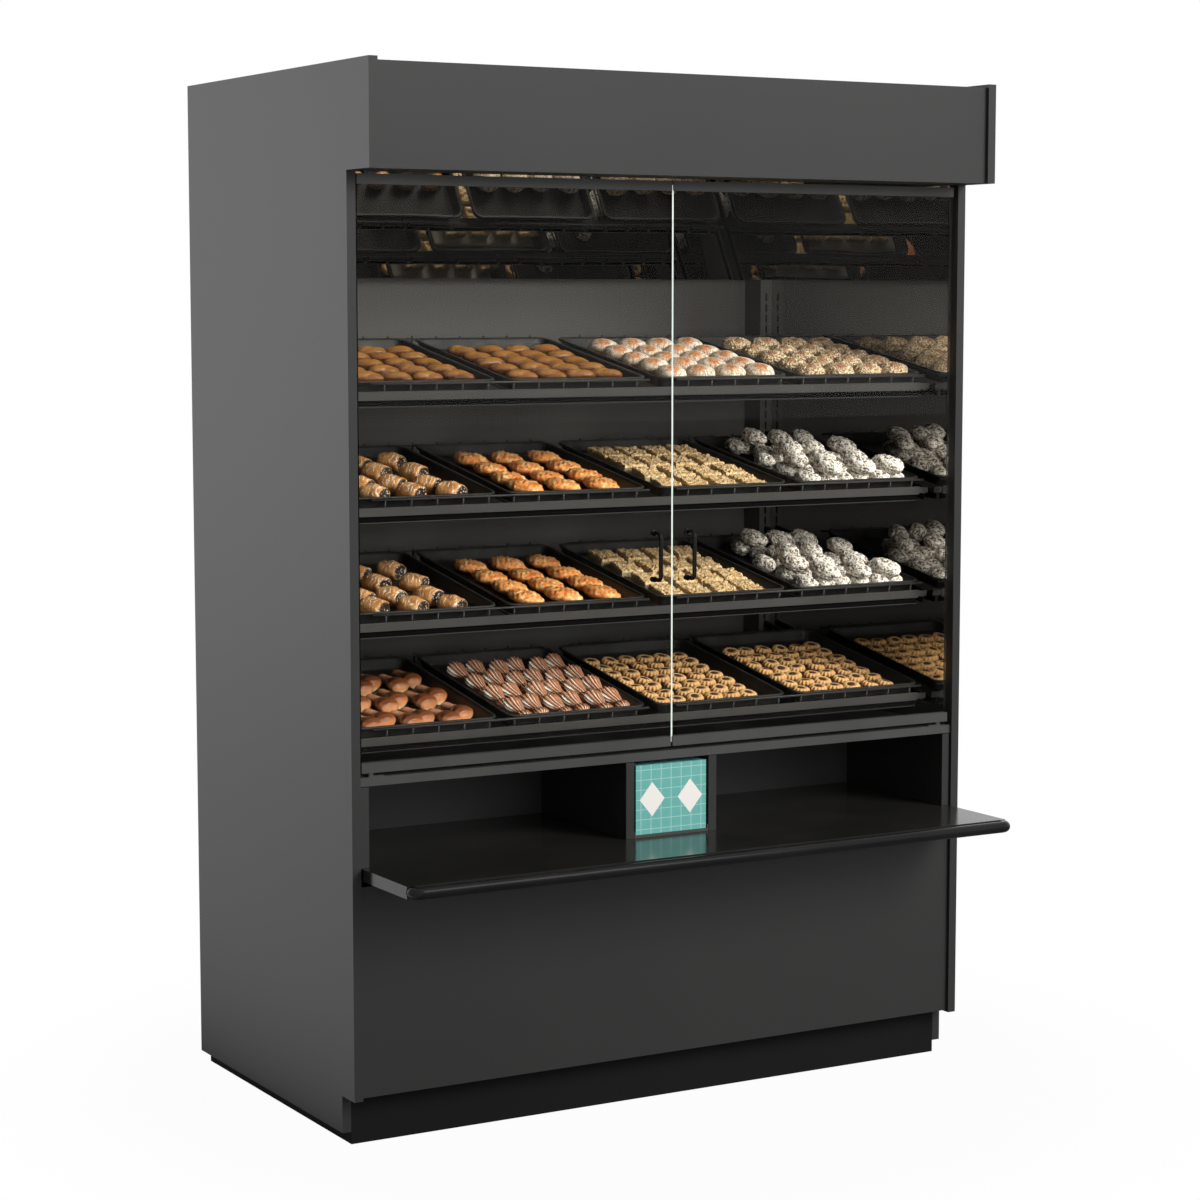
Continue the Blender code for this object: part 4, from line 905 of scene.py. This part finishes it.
def crumb_looks():
    s = goods_shader("looks_crumb_bar", 0.75)
    crumbs = s.cells(330.0)
    clumps = s.noise(120.0, 3.0, 0.6)
    # Crumbs are pale at their middles and darker at their rims: partly toasted crumb and partly painted shade between
    # them.
    top = s.mix(s.range(crumbs, 0.20, 0.75), (0.92, 0.72, 0.42), (0.46, 0.28, 0.115))
    top = s.mix(s.range(clumps, 0.50, 0.36), top, (0.40, 0.21, 0.07))
    layers = s.noise(160.0, 3.0)
    # The cut sides are darker than the tops: their own greyish crumb, darkened further as painted shade under the lit
    # tops.
    side = s.mix(layers, (0.30, 0.235, 0.15), (0.50, 0.42, 0.29))
    s.color(s.mix(s.mask, side, top))
    s.bump(s.math("ADD", s.range(crumbs, 0.0, 0.7, 1.0, 0.0), layers), 0.0018, 0.8)
    return s.material


def sugar_looks():
    s = goods_shader("looks_sugared_oval", 0.7)
    grit = s.noise(300.0, 4.0, 0.7)
    # Darker in the pits, where the mask is low, and paler on the crags: partly the sugar's own specks and partly
    # painted shade and light.
    tone = s.math("MULTIPLY_ADD", grit, 0.8, s.times(s.mask, 0.45))
    pale = s.mix(s.range(tone, 0.60, 0.74), (0.60, 0.53, 0.44), (0.98, 0.93, 0.84))
    s.color(s.mix(s.range(tone, 0.54, 0.61), (0.110, 0.080, 0.055), pale))
    s.bump(grit, 0.0030, 0.9)
    return s.material


def horn_looks():
    s = goods_shader("looks_horn_roll", 0.34, 0.5)
    tone = s.math("MULTIPLY_ADD", s.noise(50.0, 4.0), 0.8, s.times(s.shade, 0.3))
    height = s.math("MULTIPLY_ADD", s.noise(90.0, 3.0), 0.008, s.parts(s.local)[2])
    side = s.mix(s.range(tone, 0.3, 0.85), (0.34, 0.125, 0.045), (0.52, 0.225, 0.090))
    top = s.mix(s.range(height, 0.018, 0.029), side, (0.150, 0.045, 0.015))
    body = s.mix(s.range(height, 0.015, 0.008), top, (0.50, 0.33, 0.18))
    grains = s.range(s.cells(420.0), 0.26, 0.16)
    sugared = s.mix(s.times(grains, s.range(s.mask, 0.1, 0.5)), body, (0.70, 0.62, 0.50))
    s.color(s.mix(s.range(s.mask, 0.25, 0.85, 0.0, 0.5), sugared, (0.15, 0.055, 0.024)))
    s.bump(s.noise(230.0, 3.0), 0.0012, 0.4)
    return s.material


def shell_looks():
    s = goods_shader("looks_cream_shell", 0.45, 0.15)
    brown = s.mix(s.noise(110.0, 4.0), (0.250, 0.095, 0.043), (0.46, 0.215, 0.115))
    stripe = s.math("MULTIPLY_ADD", s.noise(160.0, 3.0), 0.40, s.minus(s.mask, 0.20))
    s.color(s.mix(s.range(stripe, 0.35, 0.60), brown, (0.80, 0.70, 0.58)))
    s.bump(s.noise(260.0, 3.0), 0.0012, 0.4)
    return s.material


def cookie_looks():
    s = goods_shader("looks_cookie", 0.6)
    dough = s.mix(s.noise(90.0, 4.0), (0.48, 0.27, 0.105), (0.66, 0.41, 0.185))
    edge = s.mix(s.range(s.mask, 0.80, 1.0), dough, (0.48, 0.26, 0.10))
    filling = s.mix(s.noise(260.0, 3.0), (0.034, 0.017, 0.010), (0.095, 0.050, 0.030))
    s.color(s.mix(s.range(s.mask, 0.44, 0.50), filling, edge))
    s.rough(s.range(s.mask, 0.42, 0.50, 0.28, 0.62))
    s.bump(s.noise(320.0, 3.0), 0.0008, 0.5)
    return s.material


KINDS = {"twist": (twist, twist_looks), "iced": (iced_bun, iced_looks), "nut": (nut_bun, nut_looks),
         "roll": (drizzled_roll, roll_looks), "oval": (glazed_oval, oval_looks), "crumb": (crumb_bar, crumb_looks),
         "sugar": (sugared_oval, sugar_looks), "horn": (horn_roll, horn_looks), "shell": (cream_shell, shell_looks),
         "cookie": (cookie, cookie_looks)}
LOOKS = {kind: looks() for kind, (maker, looks) in KINDS.items()}
VARIANTS = {kind: [maker(seed) for seed in (1, 2, 3)] for kind, (maker, looks) in KINDS.items()}


def goods(number, column, kind, spots, seed, turn_spread=6.0, shift=0.002):
    """Fills a pan: spots are (x from the pan's middle, y from its front, height, turn, tilt) rows."""
    rng = random.Random(seed)
    batch = Batch()
    pan = shelf_place(number) @ Matrix.Translation(((column - 2.5) * PAN_PITCH, PAN_FRONT, PAN_FLOOR + 0.0004))
    for x, y, z, turn, tilt in spots:
        body, mask = rng.choice(VARIANTS[kind])
        size = rng.uniform(0.96, 1.03)
        place = (pan @ Matrix.Translation((x + rng.uniform(-shift, shift), y + rng.uniform(-shift, shift), z))
                 @ Matrix.Rotation(math.radians(turn + rng.uniform(-turn_spread, turn_spread)), 4, "Z")
                 @ Matrix.Rotation(math.radians(tilt), 4, "Y") @ Matrix.Scale(size, 4))
        batch.add(body, place, mask, rng.random())
    batch.piece("shelf_%d_pan_%d_goods" % (number + 1, column), LOOKS[kind])


def rows_of(columns, rows, pitch_x, pitch_y, x_middle, y_first, turns=(0.0,)):
    """Spots in straight rows; turns are given out along the diagonals."""
    return [(x_middle + (column - (columns - 1) / 2) * pitch_x, y_first + row * pitch_y, 0.0,
             turns[(column + row) % len(turns)], 0.0) for row in range(rows) for column in range(columns)]


TWISTS = rows_of(4, 5, 0.068, 0.067, 0.010, 0.0805, turns=(-20.0, -32.0, -12.0, -26.0))
goods(0, 1, "twist", TWISTS, 11, turn_spread=8)
goods(0, 2, "twist", TWISTS, 12, turn_spread=8)
BUNS = rows_of(4, 5, 0.0741, 0.0731, 0.006, 0.0475)
goods(0, 3, "iced", BUNS, 13, turn_spread=12)
goods(0, 4, "nut", BUNS, 14, turn_spread=14)
ROLLS = [(x, y, 0.0, -62.0, 0.0) for x, y in (
    (-0.087, 0.0595), (-0.004, 0.0565), (0.082, 0.0525), (-0.085, 0.1295), (-0.016, 0.1285), (0.062, 0.1185),
    (-0.085, 0.2305), (0.001, 0.2355), (0.081, 0.2255), (-0.090, 0.3125), (-0.007, 0.3105), (0.080, 0.3295))]
OVALS = [(x, y, 0.0, -67.0, 0.0) for y in (0.0805, 0.1535, 0.2395, 0.3335) for x in (-0.083, 0.006, 0.098)]
BARS = [(middle + (column - 1.5) * 0.0675, 0.062 + row * 0.098, 0.0, -6.0, 0.0)
        for row, middle in enumerate((-0.003, 0.012, 0.011, 0.015)) for column in range(4)]
SUGARED = [(-0.108 + 0.045 * column, y, 0.0, -90.0, 0.0) for y, columns in (
    (0.050, range(6)), (0.135, range(6)), (0.220, range(6)), (0.300, range(1, 5))) for column in columns]
SUGARED += [(-0.075, 0.372, 0.0, -90.0, 0.0)]
SUGARED += [(x, y, 0.030, -76.0, 5.0) for x, y in (
    (-0.069, 0.335), (-0.006, 0.315), (0.050, 0.314), (0.102, 0.229), (-0.052, 0.216), (0.015, 0.226),
    (-0.100, 0.118), (-0.030, 0.115), (0.060, 0.118), (0.095, 0.045), (0.017, 0.042), (-0.065, 0.045))]
for shelf in (1, 2):
    goods(shelf, 1, "roll", ROLLS, 21 + shelf, turn_spread=8)
    goods(shelf, 2, "oval", OVALS, 31 + shelf, turn_spread=3)
    goods(shelf, 3, "crumb", BARS, 41 + shelf, turn_spread=5)
    goods(shelf, 4, "sugar", SUGARED, 51 + shelf, turn_spread=16, shift=0.004)
HORNS = [(x, y, 0.0, -85.0, 0.0) for x, ys in (
    (0.113, (0.0945, 0.2185, 0.3375)), (0.068, (0.0645, 0.1815, 0.3085)), (0.018, (0.0855, 0.2115, 0.3375)),
    (-0.019, (0.0695, 0.1805, 0.3025)), (-0.070, (0.0875, 0.2065, 0.3300)), (-0.110, (0.0695, 0.1800, 0.3000)))
    for y in ys]
goods(3, 1, "horn", HORNS, 61, turn_spread=4)
SHELLS = [(x, y + 0.012 * (spot % 2), *rest)
          for spot, (x, y, *rest) in enumerate(rows_of(6, 4, 0.0485, 0.0830, 0.001, 0.0470))]
goods(3, 2, "shell", SHELLS, 62, turn_spread=7)
for column, middle, seed in ((3, -0.009, 63), (4, 0.002, 64)):
    tilts = random.Random(seed)
    cookies = [(x, y, 0.001, 0.0, tilts.uniform(-13.0, 13.0))
               for x, y, *rest in rows_of(6, 7, 0.0454, 0.0489, middle, 0.0625)]
    goods(3, column, "cookie", cookies, seed, turn_spread=180, shift=0.0035)


def paper_liner(number):
    """The baking paper that lies flat under the bars."""
    columns, rows, thickness = 24, 34, 0.0002
    x_first, y_first, width, length = -0.140, 0.022, 0.272, 0.400
    across = columns + 1
    sheet = across * (rows + 1)
    points = [(x_first + width * column / columns, y_first + length * row / rows, PAN_FLOOR + 0.0001 + level)
              for level in (0.0, thickness) for row in range(rows + 1) for column in range(across)]
    faces = []
    for row in range(rows):
        for column in range(columns):
            low = row * across + column
            face = (low, low + 1, low + across + 1, low + across)
            faces += [face[::-1], tuple(sheet + index for index in face)]
    rim = list(range(columns)) + [row * across + columns for row in range(rows)]
    rim += [rows * across + column for column in range(columns, 0, -1)]
    rim += [row * across for row in range(rows, 0, -1)]
    faces += [(here, after, sheet + after, sheet + here) for here, after in zip(rim, rim[1:] + rim[:1])]
    batch = Batch()
    batch.add((np.array(points, float), faces),
              shelf_place(number) @ Matrix.Translation((0.5 * PAN_PITCH, PAN_FRONT, 0)))
    batch.piece("shelf_%d_pan_3_paper" % (number + 1), liner_looks)


liner_looks = paper_material()
paper_liner(1)
paper_liner(2)

# Floor, world, lamps and camera
WHITE = (1.0, 1.0, 1.0)
FLOOR_HALF = 30
CASE_HALF = 0.74


def floor_material():
    """A pale floor, white to the camera past the shadow, and a glow beside the case in reflections."""
    s = Shader("looks_floor", Roughness=0.9, Specular_IOR_Level=0.0)
    s.color(s.mix(s.noise(2.0), (0.12, 0.12, 0.12), (0.15, 0.15, 0.15)))
    paths = s.outputs("ShaderNodeLightPath")
    white = s.times(paths["Is Camera Ray"], s.range(s.length(s.place), 0.8, 1.5, 0.97, 1.0, smooth=True))
    x = s.parts(s.place)[0]
    beside = s.math("ADD", s.range(x, -CASE_HALF, -0.80, 0.0, 0.35), s.range(x, -0.80, -1.20, 0.0, 0.60))
    white = s.math("MAXIMUM", white, s.times(paths["Is Glossy Ray"], beside))
    glow = s.node("ShaderNodeEmission", 0, {"Color": WHITE, "Strength": 1.0})
    s.surface(s.node("ShaderNodeMixShader", 0, {0: white, 1: s.bsdf.outputs[0], 2: glow}))
    return s.material


floor_mesh = bpy.data.meshes.new("floor")
floor_mesh.from_pydata([(x * FLOOR_HALF, y * FLOOR_HALF, 0) for x, y in ((-1, -1), (1, -1), (1, 1), (-1, 1))],
                       [], [(0, 1, 2, 3)])
floor_mesh.materials.append(floor_material())
floor = bpy.data.objects.new("floor", floor_mesh)
bpy.context.scene.collection.objects.link(floor)
floor.location.z = -0.0005

# The world lights softly, and is white to the camera and in reflections
world = bpy.data.worlds.new("studio")
bpy.context.scene.world = world
world.use_nodes = True
world.node_tree.nodes.clear()
sky = Nodes(world.node_tree)
paths = sky.outputs("ShaderNodeLightPath")
seen = sky.math("MAXIMUM", sky.math("MAXIMUM", paths["Is Camera Ray"], paths["Is Glossy Ray"]),
                paths["Is Transmission Ray"])
lit, backdrop = (sky.node("ShaderNodeBackground", 0, {"Color": WHITE, "Strength": strength})
                 for strength in (0.14, 1.0))
mixed = sky.node("ShaderNodeMixShader", 0, {0: seen, 1: lit, 2: backdrop})
sky.set(sky.tree.nodes.new("ShaderNodeOutputWorld"), "Surface", mixed)


def area_light(name, place, target, size, power, color=WHITE, size_y=None, hidden=()):
    light = bpy.data.lights.new(name, "AREA")
    light.shape = "RECTANGLE"
    light.size = size
    light.size_y = size_y or size
    light.energy = power
    light.color = color
    item = bpy.data.objects.new(name, light)
    item.location = place
    item.rotation_euler = (Vector(target) - Vector(place)).to_track_quat("-Z", "Y").to_euler()
    for ray in hidden:
        setattr(item, "visible_" + ray, False)
    bpy.context.scene.collection.objects.link(item)


middle_of_case = (0.0, 0.0, 1.25)
area_light("key", (2.9, -5.1, 3.7), middle_of_case, 2.6, 760.0, hidden=("glossy",))
area_light("fill", (0.4, -6.0, 1.9), middle_of_case, 2.0, 170.0, size_y=1.4, hidden=("glossy",))
area_light("gleam", (2.2, -5.4, 4.4), middle_of_case, 3.0, 110.0, hidden=("diffuse",))
area_light("left", (-3.8, 4.6, 1.9), (-0.74, 0.3, 1.5), 2.6, 36.0, size_y=3.4)
area_light("case_lamp", (0.0, -0.236, 1.920), (0.0, -0.10, 1.2), 1.28, 0.4, (1.0, 0.84, 0.64), 0.018)

camera_data = bpy.data.cameras.new("camera")
camera_data.sensor_width = 36.0
camera_data.lens = 86.06
camera = bpy.data.objects.new("camera", camera_data)
turn_right, look_down = math.radians(30.0137), math.radians(5.9314)
camera.matrix_world = (Matrix.Translation((-3.0828, -5.31415, 1.6742)) @ Matrix.Rotation(-turn_right, 4, "Z")
                       @ Matrix.Rotation(math.radians(90) - look_down, 4, "X"))
bpy.context.scene.collection.objects.link(camera)
bpy.context.scene.camera = camera
bpy.context.scene.view_settings.view_transform = "Standard"
